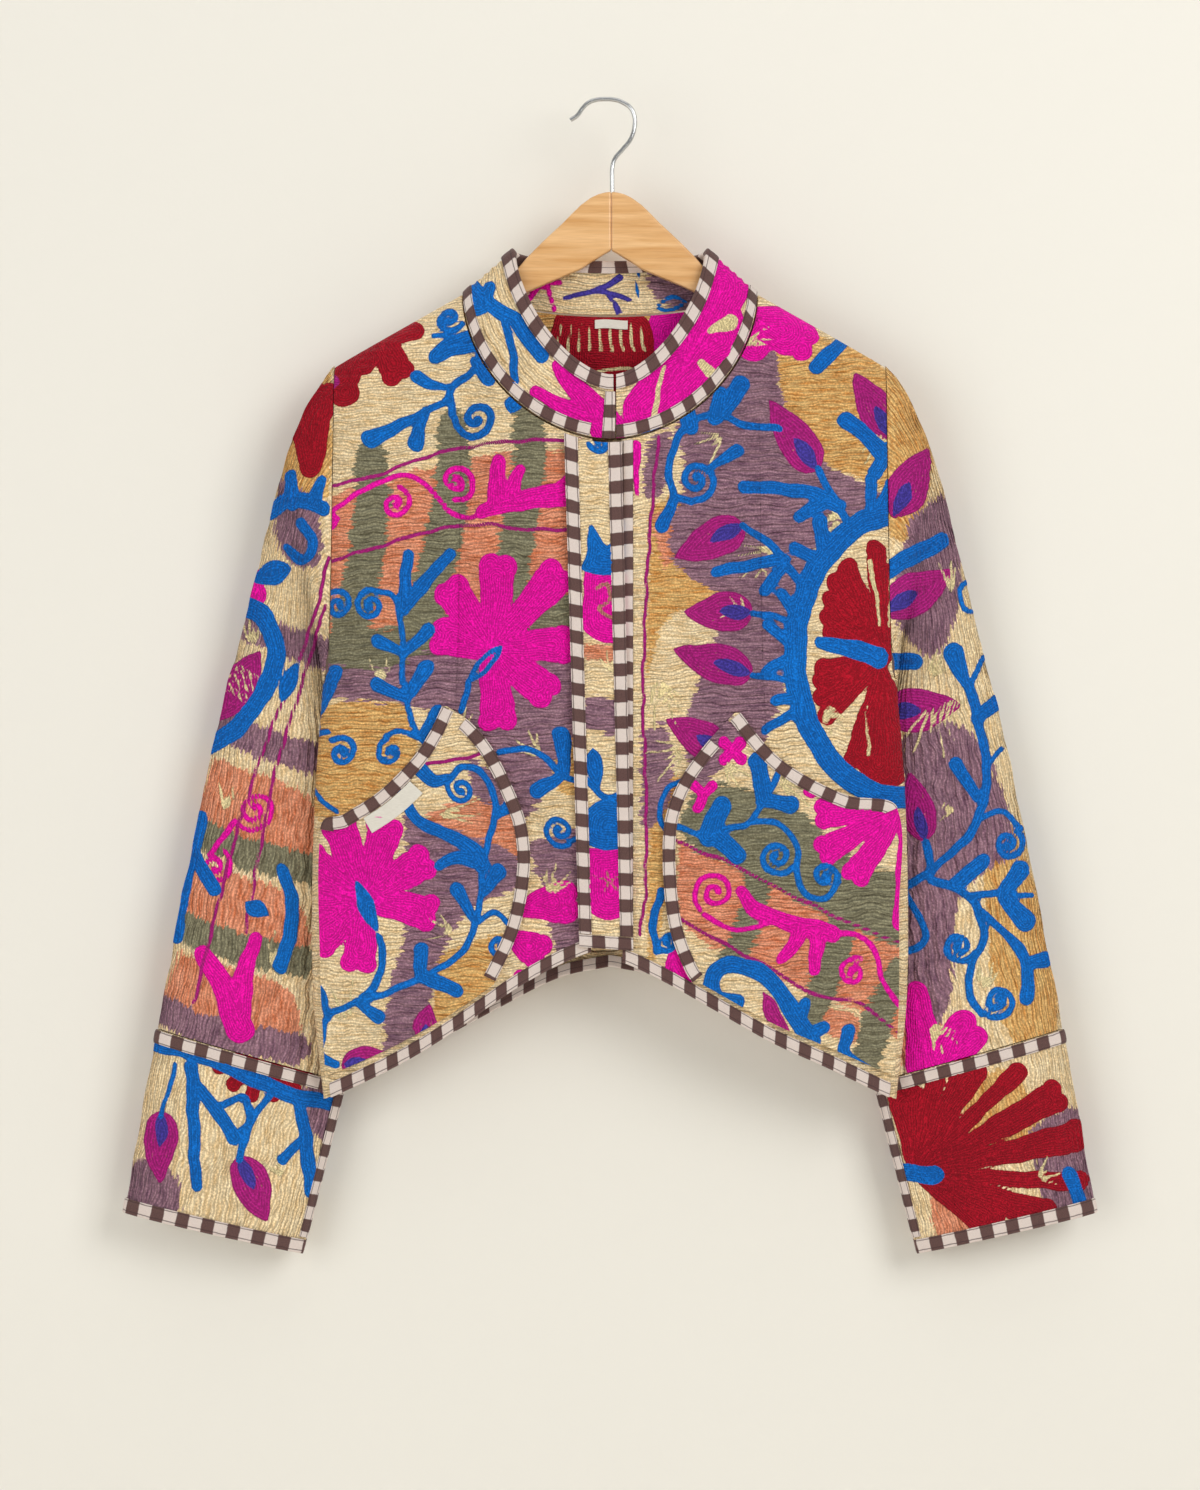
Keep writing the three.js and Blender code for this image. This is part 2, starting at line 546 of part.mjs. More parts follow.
// Collar tapes: folded over the top edge, flat along the seam and folded over the right end.
const collarWidth = (u) => {
  const { seam, top } = collarEdges(u);
  return seam.distanceTo(top) - 1.5;
};
const collarLong = 500;
const collarFace = (u, v, height) => onCollar(u, v, clothThick / 2 + height);
addPiece('collar_top_tape', tapeGeometry((t, w, height) => (
  collarFace(t, w / collarWidth(t), height)), collarColumns, { base: 1.4, behind: clothThick + 0.9, edgeGap: 0.8 }), tapeCloth);
addPiece('collar_seam_tape', tapeGeometry((t, w, height) => {
  const u = mix(2 / collarColumns, 1, t);
  return collarFace(u, 1 - (w + 0.4) / collarWidth(u), height);
}, collarColumns - 2, { folded: false, flip: true }), tapeCloth);
addPiece('collar_end_tape', tapeGeometry((t, w, height) => (
  collarFace(w / collarLong, mix((tapeWidth + 2) / collarWidth(0), 1, t), height)), 4, { flip: true }), tapeCloth);

// The tape down the left front's edge lies under the placket; the placket's own tapes lie on its face.
addPiece('front_edge_tape', tapeGeometry((t, w, height) => {
  const x = frontEdge.left + w;
  const top = neckSeamZ(angleAt(x)) - 1.5;
  return onFront(x, mix(top, lookUp(leftHem, 'x', 'z', x) + tapeWidth + 2, t), height);
}, 18, { folded: false, from: 0.2, wide: 9, base: 0.7 }), tapeCloth);
const placketWide = 42;
const placketLong = 395;
const placketTape = { folded: false, base: 0.35 };
const footRoom = (tapeWidth + 0.6) / placketLong;
addPiece('placket_tape_right', tapeGeometry((t, w, height) => (
  onPlacket(w / placketWide, t * (1 - footRoom), height)), 18, placketTape), tapeCloth);
addPiece('placket_tape_left', tapeGeometry((t, w, height) => (
  onPlacket(1 - w / placketWide, t * (1 - footRoom), height)), 18, { ...placketTape, flip: true }), tapeCloth);
addPiece('placket_tape_foot', tapeGeometry((t, w, height) => (
  onPlacket(t, 1 - w / placketLong, height)), 3, placketTape), tapeCloth);

// A strip beside a curve on the fronts, w inwards from it on its turned side.
function beside(curveAt, turned, from, to, lift) {
  const small = 1e-3;
  return (t, w, height) => {
    const v = mix(from, to, t);
    const [x0, z0] = curveAt(Math.max(v - small, 0));
    const [x1, z1] = curveAt(Math.min(v + small, 1));
    const long = Math.hypot(x1 - x0, z1 - z0);
    const [x, z] = curveAt(v);
    return onFront(x - turned * w * (z1 - z0) / long, z + turned * w * (x1 - x0) / long, lift + height);
  };
}
const pocketFace = pocketLift + clothThick;
for (const [side, table, hand] of [['right', rightPocket, -1], ['left', leftPocket, 1]]) {
  const opening = beside(pocketSide(table), -hand, 0, 0.6 - 0.12 * (hand + 1) / 2, pocketFace);
  const inner = beside(pocketInner(table), hand, 0.1, 0.97, pocketFace);
  addPiece(`pocket_opening_tape_${side}`, tapeGeometry(opening, 12, { folded: false, flip: hand > 0 }), tapeCloth);
  addPiece(`pocket_inner_tape_${side}`, tapeGeometry(inner, 14, { folded: false, flip: hand < 0 }), tapeCloth);
}

// Cuff tapes: flat along the top seam, folded over the hem and over both edges of the slit.
for (const [side, hand] of [['right', -1], ['left', 1]]) {
  const face = onCuff(hand);
  const room = (tapeWidth + 2) / cuffAround;
  const long = cuffLong - cuffSeamGap;
  const footed = (tapeWidth + 2) / long;
  const tapes = {
    top: tapeGeometry((t, w, height) => face(mix(room, 1 - room, t), (w + 0.4) / long, height), 22,
      { folded: false, flip: hand < 0 }),
    hem: tapeGeometry((t, w, height) => face(t, 1 - w / long, height), cuffColumns, { flip: hand > 0 }),
    slit_back: tapeGeometry((t, w, height) => face(w / cuffAround, t * (1 - footed), height), 5,
      { flip: hand > 0 }),
    slit_front: tapeGeometry((t, w, height) => face(1 - w / cuffAround, t * (1 - footed), height), 5,
      { flip: hand < 0 }),
  };
  for (const [place, geometry] of Object.entries(tapes)) addPiece(`cuff_${place}_tape_${side}`, geometry, tapeCloth);
}

// Hanger: two beech arms joined at the middle under the hook, and the hook itself

const hangerX = 5;
const armHalf = 4.6;            // half the wood's thickness
const armRound = 3.4;
const armBelow = 4.2;           // what the arm's top keeps below the shoulder ridge
const armEnd = 203;             // half the hanger's width
// One arm's outline from the middle outwards. The middle rises in a hump that carries the hook.
const armTopOutline = [
  [0, -71.5], [14, -75], [24, -82], [31, -89], [46, -103], [55, -115], [66, -126], [76, -138], [92, -150],
  [104, -157], [118, -164],
];
const armUnderOutline = [[92, -163.5], [67, -151], [45, -141.5], [23, -132], [0, -117.5]];
const slopeTop = (x) => neckZ - shoulderSlope * (x - neckHalf) - armBelow;
const armDepth = 21;
function armGeometry(hand, middleGap) {
  const top = [...armTopOutline, ...[145, 175, armEnd - 8].map((x) => [x, slopeTop(x + 1)])];
  const tip = [[armEnd - 2, slopeTop(armEnd) - 3], [armEnd, slopeTop(armEnd) - 9],
    [armEnd - 3, slopeTop(armEnd) - 17], [armEnd - 10, slopeTop(armEnd) - armDepth + 1]];
  const under = [...[175, 145, 115].map((x) => [x, slopeTop(x) - armDepth]), ...armUnderOutline];
  const outline = [...top, ...tip, ...under].map(([x, z]) => (
    new THREE.Vector2(hangerX + hand * Math.max(x, middleGap), z)
  ));
  const shape = new THREE.Shape(hand > 0 ? outline.reverse() : outline);
  const geometry = new THREE.ExtrudeGeometry(shape, {
    depth: 2 * (armHalf - armRound), bevelThickness: armRound, bevelSize: armRound, bevelOffset: -armRound,
    bevelSegments: 3, curveSegments: 1,
  });
  return geometry.translate(0, 0, armRound - armHalf).rotateX(Math.PI / 2);
}
for (const [side, hand] of [['right', -1], ['left', 1]]) {
  addPiece(`hanger_arm_${side}`, armGeometry(hand, 0.05), beech);
}

// A round wire along points in the plane y = 0, closed by rounded ends.
function wireGeometry(points, radius, count, sides) {
  const path = new THREE.CatmullRomCurve3(points.map(([x, z]) => new THREE.Vector3(x, 0, z)), false, 'centripetal');
  const across = new THREE.Vector3(0, 1, 0);
  const rings = steps(count).map((t) => {
    const middle = path.getPointAt(t);
    const up = path.getTangentAt(t).cross(across);
    return steps(sides).map((k) => {
      const angle = (k % 1) * 2 * Math.PI;
      return middle.clone().addScaledVector(up, radius * Math.cos(angle)).addScaledVector(across, radius * Math.sin(angle));
    });
  });
  const corners = [];
  fillGrid(corners, rings, false);
  for (const [ring, t, outward, turned] of [[rings[0], 0, -1, true], [rings[count], 1, 1, false]]) {
    const tip = path.getPointAt(t).addScaledVector(path.getTangentAt(t), outward * radius * 0.5);
    for (let k = 0; k < sides; k += 1) {
      if (turned) corners.push(tip, ring[k], ring[k + 1]);
      else corners.push(tip, ring[k + 1], ring[k]);
    }
  }
  return new THREE.BufferGeometry().setFromPoints(corners);
}
const hookRadius = 1.8;
const hookPath = [
  [5.7, -70.3], [5.7, -53], [7.3, -46], [13.6, -38], [20, -30], [23.4, -19], [23, -11], [20, -5],
  [13.6, -0.6], [7.3, 1.4], [0, 1.8], [-7.3, 1.2], [-13.6, -1.4], [-17.8, -5.5], [-21.8, -11], [-27.3, -14.7],
];
addPiece('hook', wireGeometry(hookPath, hookRadius, 32, 8), steel);

// Labels, both bare: a tab inside the back of the neck and a strip under the right pocket's opening tape
const labelThick = 0.8;
const neckTab = { left: -12, right: 14, top: -171, foot: -178 };
addPiece('neck_label', sheetGeometry((u, v, height) => {
  const x = mix(neckTab.left, neckTab.right, u);
  const z = mix(neckTab.top, neckTab.foot, v);
  return onBody(turnOf(x, z), z, 1, -clothThick - 0.3 + height);
}, { across: 3, down: 1, flip: true, thick: labelThick }), labelCloth);
const labelStrip = beside(pocketSide(rightPocket), 1, 0.285, 0.435, pocketFace);
addPiece('pocket_label', sheetGeometry((u, v, height) => labelStrip(u, mix(10.5, 24, v), height), {
  across: 6, down: 1, top: 0.5 + labelThick, thick: labelThick, flip: true,
}), labelCloth);

export default jacket;
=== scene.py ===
# A cropped jacket of hand-quilted cotton, thick with chain-stitched vines and flowers, on a wooden hanger.
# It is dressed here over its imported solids. Sizes are in millimetres until a mesh is made.
import math

import bmesh
import bpy
import numpy as np
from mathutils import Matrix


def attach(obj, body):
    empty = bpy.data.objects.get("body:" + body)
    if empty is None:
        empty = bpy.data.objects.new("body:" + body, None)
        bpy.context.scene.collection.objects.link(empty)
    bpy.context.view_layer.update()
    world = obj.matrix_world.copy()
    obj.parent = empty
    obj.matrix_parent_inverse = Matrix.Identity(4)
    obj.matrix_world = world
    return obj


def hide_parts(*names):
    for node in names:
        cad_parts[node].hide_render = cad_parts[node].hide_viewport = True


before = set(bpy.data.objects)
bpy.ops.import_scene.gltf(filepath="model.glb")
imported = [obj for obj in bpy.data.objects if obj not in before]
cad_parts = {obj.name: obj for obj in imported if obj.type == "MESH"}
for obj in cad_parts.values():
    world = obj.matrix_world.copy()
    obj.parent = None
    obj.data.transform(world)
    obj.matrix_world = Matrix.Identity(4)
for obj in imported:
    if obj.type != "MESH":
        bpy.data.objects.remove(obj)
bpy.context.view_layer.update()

# The hanger. Two flat arms of lacquered beech meet in a glued joint under the hook, where they rise in a
# hump. Their edges are rounded over by a router. The arms run out inside the jacket's shoulders.
HANGER_X = 5.0
ARM_HALF_THICK = 4.6
ARM_EDGE = 3.2
ARM_STATIONS = [  # distance from the joint, top edge, under edge
    (0.06, -71.5, -117.5), (5, -72.1, -120.2), (10, -73.4, -123.4), (16, -76.2, -127), (24, -82, -132.4),
    (31, -88.8, -135.4), (38, -96, -138.4), (46, -103.4, -141.8), (55, -111.9, -145.6), (66, -123, -150.6),
    (76, -134.5, -155.2), (90, -147.5, -163), (104, -157, -172), (118, -164, -180), (145, -173, -193.5),
    (175, -189.8, -210), (193, -199.6, -219.6), (200, -204.6, -221.5), (202.6, -209.5, -219.5),
]


def deselect_everything():
    if bpy.context.object and bpy.context.object.mode != "OBJECT":
        bpy.ops.object.mode_set(mode="OBJECT")
    bpy.ops.object.select_all(action="DESELECT")


def pick(piece):
    deselect_everything()
    piece.select_set(True)
    bpy.context.view_layer.objects.active = piece


def new_material(name):
    made = bpy.data.materials.new(name)
    made.use_nodes = True
    made.node_tree.nodes.clear()
    return made


def add_node(tree, kind, inputs=None, **settings):
    """A node with its settings, whose inputs are given as values or as the sockets that feed them."""
    node = tree.nodes.new(kind)
    for key, value in settings.items():
        setattr(node, key, value)
    for key, value in (inputs or {}).items():
        if isinstance(value, bpy.types.NodeSocket):
            tree.links.new(value, node.inputs[key])
        else:
            node.inputs[key].default_value = value
    return node


def srgb(code):
    """Linear colour of a hexadecimal one."""
    parts = [int(code[i:i + 2], 16) / 255 for i in (1, 3, 5)]
    return (*(c / 12.92 if c <= 0.04045 else ((c + 0.055) / 1.055) ** 2.4 for c in parts), 1.0)


def math_node(tree, operation, *values):
    return add_node(tree, "ShaderNodeMath", dict(enumerate(values)), operation=operation).outputs[0]


def blend_colours(tree, share, first, second, kind="MIX"):
    node = add_node(tree, "ShaderNodeMix", data_type="RGBA", blend_type=kind)
    for socket, value in ((node.inputs[0], share), (node.inputs[6], first), (node.inputs[7], second)):
        if isinstance(value, bpy.types.NodeSocket):
            tree.links.new(value, socket)
        else:
            socket.default_value = value
    return node.outputs[2]


def object_place(tree):
    return add_node(tree, "ShaderNodeTexCoord").outputs["Object"]


def noise(tree, place, scale, detail=2.0, **more):
    """Soft noise over some places, whose other inputs are given by name."""
    given = {"Vector": place, "Scale": scale, "Detail": detail, **more}
    return add_node(tree, "ShaderNodeTexNoise", given).outputs["Fac"]


def stretched(tree, value, low, high, to_low=0.0, to_high=1.0):
    """A value whose range is stretched to another one and held at both ends."""
    given = {"Value": value, 1: low, 2: high, 3: to_low, 4: to_high}
    return add_node(tree, "ShaderNodeMapRange", given).outputs[0]


def finish_material(made, **sockets):
    """The Principled shader of a material and its output."""
    tree = made.node_tree
    shader = add_node(tree, "ShaderNodeBsdfPrincipled",
                      {k.replace("_", " "): v for k, v in sockets.items()})
    out = add_node(tree, "ShaderNodeOutputMaterial")
    tree.links.new(shader.outputs[0], out.inputs[0])
    return made


def beech():
    """Straight pale grain along each arm, with fine darker pores and a satin lacquer."""
    made = new_material("lacquered_beech")
    tree = made.node_tree
    place, slant = object_place(tree), (0, 0.5, 0)
    along = add_node(tree, "ShaderNodeMapping",
                     {"Vector": place, "Rotation": slant, "Scale": (12, 60, 160)})
    bands = noise(tree, along.outputs[0], 1.0, 5.0, Roughness=0.55, Distortion=0.4)
    fine = add_node(tree, "ShaderNodeMapping",
                    {"Vector": place, "Rotation": slant, "Scale": (60, 500, 900)})
    pores = noise(tree, fine.outputs[0], 1.0)
    ramp = add_node(tree, "ShaderNodeValToRGB", {"Fac": bands})
    ramp.color_ramp.elements[0].position = 0.32
    ramp.color_ramp.elements[0].color = srgb("#cf9858")
    ramp.color_ramp.elements[1].position = 0.72
    ramp.color_ramp.elements[1].color = srgb("#ecbf88")
    pitted = math_node(tree, "MULTIPLY", math_node(tree, "SUBTRACT", pores, 0.4), 0.5)
    colour = blend_colours(tree, pitted, ramp.outputs[0], srgb("#9a6231"))
    bump = add_node(tree, "ShaderNodeBump", {"Height": pores, "Strength": 0.25, "Distance": 0.0002})
    return finish_material(made, Base_Color=colour, Roughness=0.34, Coat_Weight=0.3, Coat_Roughness=0.2,
                           Normal=bump.outputs[0])


BEECH = beech()


def hanger_arm(side, hand):
    """One arm: a strip of faces extruded station by station from the joint, then given its thickness."""
    deselect_everything()
    bpy.ops.mesh.primitive_plane_add(size=0.01, rotation=(math.pi / 2, 0, 0))
    arm = bpy.context.object
    arm.name = arm.data.name = f"beech_arm_{side}"
    bpy.ops.object.transform_apply(location=True, rotation=True, scale=True)
    bpy.ops.object.mode_set(mode="EDIT")
    shape = bmesh.from_edit_mesh(arm.data)
    corners = sorted(shape.verts, key=lambda v: (v.co.x, v.co.z))

    def station(bottom, top, row):
        x, high, low = row
        bottom.co = ((HANGER_X + hand * x) / 1000, -ARM_HALF_THICK / 1000, low / 1000)
        top.co = ((HANGER_X + hand * x) / 1000, -ARM_HALF_THICK / 1000, high / 1000)

    station(corners[0], corners[1], ARM_STATIONS[0])
    station(corners[2], corners[3], ARM_STATIONS[1])
    ends = [corners[2], corners[3]]
    for row in ARM_STATIONS[2:]:
        bpy.ops.mesh.select_all(action="DESELECT")
        for v in ends:
            v.select_set(True)
        shape.select_flush(True)
        bmesh.update_edit_mesh(arm.data)
        bpy.ops.mesh.extrude_edges_move()
        shape = bmesh.from_edit_mesh(arm.data)
        ends = [v for v in shape.verts if v.select]
        ends.sort(key=lambda v: v.co.z)
        station(ends[0], ends[1], row)
    bpy.ops.mesh.select_all(action="SELECT")
    bpy.ops.mesh.extrude_region_move(TRANSFORM_OT_translate={"value": (0, 2 * ARM_HALF_THICK / 1000, 0)})
    bpy.ops.mesh.select_all(action="SELECT")
    bpy.ops.mesh.normals_make_consistent(inside=False)
    bpy.ops.object.mode_set(mode="OBJECT")
    round_over = arm.modifiers.new("rounded edges", "BEVEL")
    round_over.width = ARM_EDGE / 1000
    round_over.segments = 5
    round_over.loop_slide = False
    round_over.angle_limit = math.radians(50)
    bpy.ops.object.modifier_apply(modifier=round_over.name)
    bpy.ops.object.shade_smooth_by_angle(angle=math.radians(40))
    arm.data.materials.append(BEECH)
    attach(arm, "root")
    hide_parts(f"hanger_arm_{side}")


hanger_arm("right", -1)
hanger_arm("left", 1)

# The hook. A bright-plated steel wire screwed into the hump, bent to a question mark whose inner top is the
# origin, where the rail bears.
HOOK_WIRE = 1.8
HOOK_PATH = [
    (5.7, -71.2), (5.7, -62), (5.7, -53), (7.3, -46), (13.6, -38), (20, -30), (23.4, -19), (23, -11),
    (20, -5),
    (13.6, -0.6), (7.3, 1.4), (0, 1.8), (-7.3, 1.2), (-13.6, -1.4), (-17.8, -5.5), (-21.8, -11),
    (-27.3, -14.7),
]


def plated_steel():
    made = new_material("plated_steel")
    tree = made.node_tree
    marks = noise(tree, object_place(tree), 900.0, 3.0)
    rough = stretched(tree, marks, 0.3, 0.7, 0.12, 0.3)
    return finish_material(made, Base_Color=srgb("#c9cbcc"), Metallic=1.0, Roughness=rough)


def wire_hook():
    deselect_everything()
    bpy.ops.curve.primitive_nurbs_path_add()
    hook = bpy.context.object
    hook.name = "wire_hook"
    path = hook.data
    path.splines.clear()
    line = path.splines.new("BEZIER")
    line.bezier_points.add(len(HOOK_PATH) - 1)
    for point, (x, z) in zip(line.bezier_points, HOOK_PATH):
        point.co = (x / 1000, 0, z / 1000)
        point.handle_left_type = point.handle_right_type = "AUTO"
    path.dimensions = "3D"
    path.bevel_depth = HOOK_WIRE / 1000
    path.bevel_resolution = 5
    path.resolution_u = 8
    path.use_fill_caps = True
    bpy.ops.object.convert(target="MESH")
    bpy.ops.object.mode_set(mode="EDIT")
    bpy.ops.mesh.select_all(action="SELECT")
    bpy.ops.mesh.remove_doubles(threshold=0.00005)
    bpy.ops.mesh.normals_make_consistent(inside=False)
    bpy.ops.object.mode_set(mode="OBJECT")
    bpy.ops.object.shade_smooth_by_angle(angle=math.radians(50))
    hook.data.materials.clear()
    hook.data.materials.append(plated_steel())
    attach(hook, "root")
    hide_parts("hook")


wire_hook()

# The back of the jacket. One panel of layered old cotton, covered in rows of chain stitch that pull it into
# soft ripples, hung from the shoulder seams. Its wall and finish are those of every panel here.
CENTRE_X = 4.0
CLOTH = 2.2
SEAM = 0.3
NECK_HALF = 117.0
NECK_Z = -152.5
SHOULDER_SLOPE = 0.56
BACK_DIP = 16.0
RIDGE = 28.0
ARMHOLE = 0.985
UNDERARM_Z = -449.0
UNDERARM_EASE = 12.0
HEM_LEVEL = -720
TURN = 6.283
SHARE_WIDTH = 220.0
NECK_SHARE = NECK_HALF / SHARE_WIDTH
BODY_Z = [-790, -700, -560, -430, -300, -150]
BODY_HALF = [225, 234, 233, 224, 221, 219]
BODY_FRONT = [24, 29, 33, 30, 24, 13]
BODY_BACK = [12, 16, 18, 17, 15, 13]
BODY_POWER = [2.5, 2.5, 2.6, 3, 4, 6]
BACK_HEM = ([0, 40, 90, 140, 236], [-681, -690, -715, -741, -787])
BODY_FOLDS = [  # side, across, lean, width, depth, top, bottom
    (-1, -168, 0.06, 30, 3.4, -330, -800), (-1, -96, -0.04, 26, 2.2, -420, -760),
    (-1, 88, 0.05, 28, 2.6, -400, -770), (-1, 176, -0.05, 30, 3.2, -310, -800),
    (1, -150, 0.05, 36, 3.2, -300, -800), (1, -52, -0.03, 30, 2.4, -360, -760),
    (1, 60, 0.04, 32, 2.8, -340, -760), (1, 158, -0.04, 34, 3.0, -290, -800),
]


def read_off(places, values, x):
    """Values between the rows of a table, with smooth joins, as a long batten would lie."""
    places, values, x = np.asarray(places, float), np.asarray(values, float), np.asarray(x, float)
    slope = np.empty_like(values)
    slope[1:-1] = (values[2:] - values[:-2]) / (places[2:] - places[:-2])
    slope[0] = (values[1] - values[0]) / (places[1] - places[0])
    slope[-1] = (values[-1] - values[-2]) / (places[-1] - places[-2])
    i = np.clip(np.searchsorted(places, x, side="right") - 1, 0, len(places) - 2)
    span = places[i + 1] - places[i]
    t = np.clip((x - places[i]) / span, 0, 1)
    return ((2 * t**3 - 3 * t**2 + 1) * values[i] + (t**3 - 2 * t**2 + t) * span * slope[i]
            + (3 * t**2 - 2 * t**3) * values[i + 1] + (t**3 - t**2) * span * slope[i + 1])


def between(a, b, t):
    return a + (b - a) * t


def shoulder_z(share):
    return NECK_Z - SHOULDER_SLOPE * (np.abs(share) * SHARE_WIDTH - NECK_HALF)


def body_half(z):
    return read_off(BODY_Z, BODY_HALF, z)


def side_share(z):
    """How much of the half width a side seam reaches: a little less beside the armhole."""
    return between(1, ARMHOLE, np.clip((z - UNDERARM_Z) / UNDERARM_EASE + 1, 0, 1))


def body_point(turn, z, side):
    """The body's outer face, by the angle whose sine is the share of its half width."""
    share = np.sin(turn)
    power = read_off(BODY_Z, BODY_POWER, z)
    across = np.maximum(1 - np.abs(share) ** power, 0) ** (1 / power)
    below = np.clip((shoulder_z(share) - z) / RIDGE, 0, 1)
    depth = read_off(BODY_Z, BODY_FRONT if side < 0 else BODY_BACK, z)
    x = share * body_half(z)
    fold = 0.0
    for its_side, place, lean, wide, deep, top, bottom in BODY_FOLDS:
        if its_side == side:
            along = np.clip((top - z) / 120, 0, 1) * np.clip((z - bottom) / 60, 0, 1)
            fold = fold + deep * along * np.exp(-((x - place - lean * (top - z)) / wide) ** 2)
    y = depth * across * np.sqrt(1 - (1 - below) ** 2) + SEAM / 2 + fold * (1 - np.abs(share) ** 6)
    return np.stack([CENTRE_X + x, side * y, z + 0 * x], -1)


def unit(v):
    return v / np.maximum(np.linalg.norm(v, axis=-1, keepdims=True), 1e-12)


def on_body(turn, z, side, height):
    """A place at a height above the body's outer face, kept on its own side of the plane of the seams."""
    turn, z, height = np.broadcast_arrays(*(np.asarray(a, float) for a in (turn, z, height)))
    small, quarter = 1e-3, math.pi / 2
    left = body_point(np.maximum(turn - small, -quarter), z, side)
    right = body_point(np.minimum(turn + small, quarter), z, side)
    top = body_point(turn, np.minimum(z + small, shoulder_z(np.sin(turn))), side)
    normal = unit(np.cross(right - left, top - body_point(turn, z - small, side)))
    out = body_point(turn, z, side) + normal * (height if side < 0 else -height)[..., None]
    out[..., 1] = side * np.maximum(side * out[..., 1], SEAM / 2)
    return out


ROW_PITCH = 7.0


def crumple(x, z, seed):
    """Small soft dents and swells of hand-stitched cloth, in mm."""
    pick_from = np.random.default_rng(seed)
    sum_of = 0.0
    for _ in range(14):
        size = pick_from.uniform(26, 80)
        way = pick_from.uniform(0, math.pi)
        start = pick_from.uniform(0, 6.3)
        sum_of = sum_of + 0.16 * np.sin((x * math.cos(way) + z * math.sin(way)) * TURN / size + start)
    return sum_of


def stitched_ripple(rows, run):
    """The rise of the cloth between its rows of stitches, in mm."""
    wander = 1.3 * np.sin(run / 23.0) + 0.9 * np.sin(run / 9.1 + 2.0) + 0.8 * np.sin(run / 51.0 + rows / 60)
    return 0.6 * np.cos((rows + wander) * TURN / ROW_PITCH)


# Pens for the chain-stitched motifs. Their places are read from the photograph, in steps of ten of
# its pixels, or 7.8 mm: how far across from the hook and how far down from it. Widths and radii are in mm.
# Each pen gives the distance to its shape, below zero inside it, and the frame that the shape can reach.
STEP = 7.8


def spot(x, down):
    return np.array([x * STEP, -down * STEP])


def smooth_line(points, steps=8):
    p = np.asarray(points, float)
    if len(p) < 3:
        return np.stack([np.linspace(p[0][k], p[-1][k], steps + 1) for k in (0, 1)], -1)
    ends = np.vstack([2 * p[0] - p[1], p, 2 * p[-1] - p[-2]])
    t = np.linspace(0, 1, steps, endpoint=False)[:, None]
    runs = []
    for a, b, c, d in zip(ends, ends[1:], ends[2:], ends[3:]):
        runs.append(0.5 * (2 * b + (c - a) * t + (2 * a - 5 * b + 4 * c - d) * t**2
                           + (3 * b - a - 3 * c + d) * t**3))
    return np.vstack([*runs, p[-1:]])


def frame_of(points, reach):
    p = np.asarray(points, float)
    return (*(p.min(0) - reach), *(p.max(0) + reach))


def stroke(line, half):
    """A line drawn with a half width at each of its points."""
    def distance(x, z):
        best = np.full(x.shape, 1e9)
        for (ax, az), (bx, bz), ha, hb in zip(line, line[1:], half, half[1:]):
            dx, dz = bx - ax, bz - az
            t = np.clip(((x - ax) * dx + (z - az) * dz) / max(dx * dx + dz * dz, 1e-9), 0, 1)
            best = np.minimum(best, np.hypot(x - ax - t * dx, z - az - t * dz) - ha - (hb - ha) * t)
        return best
    return frame_of(line, float(np.max(half))), distance


def vine(points, wide, end=None, steps=6):
    """A stem through some places, which may thicken or thin out towards its end."""
    line = smooth_line([spot(*p) for p in points], steps)
    return stroke(line, np.linspace(wide / 2, (wide if end is None else end) / 2, len(line)))


def strokes(colour, *rows):
    """Stems of one colour, each given as its width, its end's width and the places that it passes."""
    return [(colour, vine(places, wide, end)) for wide, end, *places in rows]


def spiral(x, down, radius, start, turns=1.3, hand=1, wide=4.0):
    """A tendril that coils in to a round knob, from an angle on its outer turn."""
    t = np.linspace(0, 1, int(14 * turns) + 2)
    angle = math.radians(start) + hand * t * turns * 2 * math.pi
    r = radius * (1 - 0.84 * t)
    line = spot(x, down) + np.stack([r * np.cos(angle), r * np.sin(angle)], -1)
    return stroke(line, wide / 2 * (1 + 0.45 * np.clip(t * 8 - 7, 0, 1)))


def bow(x, down, wide_radius, high_radius, start, end, wide):
    """A thick arc of an ellipse."""
    angle = np.radians(np.linspace(start, end, 26))
    line = spot(x, down) + np.stack([wide_radius * np.cos(angle), high_radius * np.sin(angle)], -1)
    return stroke(line, np.full(len(line), wide / 2))


def leaf(x, down, angle, long, wide, tip=0.42):
    """A pointed leaf from its stalk towards an angle; tip says how far along it is widest."""
    (x0, z0), a = spot(x, down), math.radians(angle)

    def distance(px, pz):
        u = ((px - x0) * math.cos(a) + (pz - z0) * math.sin(a)) / long
        w = -(px - x0) * math.sin(a) + (pz - z0) * math.cos(a)
        half = wide / 2 * np.sin(math.pi * np.clip(u, 0, 1) ** (math.log(0.5) / math.log(tip))) ** 0.8
        beyond = np.maximum(np.maximum(-u, u - 1), 0) * long
        return np.hypot(np.maximum(np.abs(w) - half, 0), beyond) + np.minimum(np.abs(w) - half, 0) * 0.8
    end = (x0 + long * math.cos(a), z0 + long * math.sin(a))
    return frame_of([(x0, z0), end], wide), distance


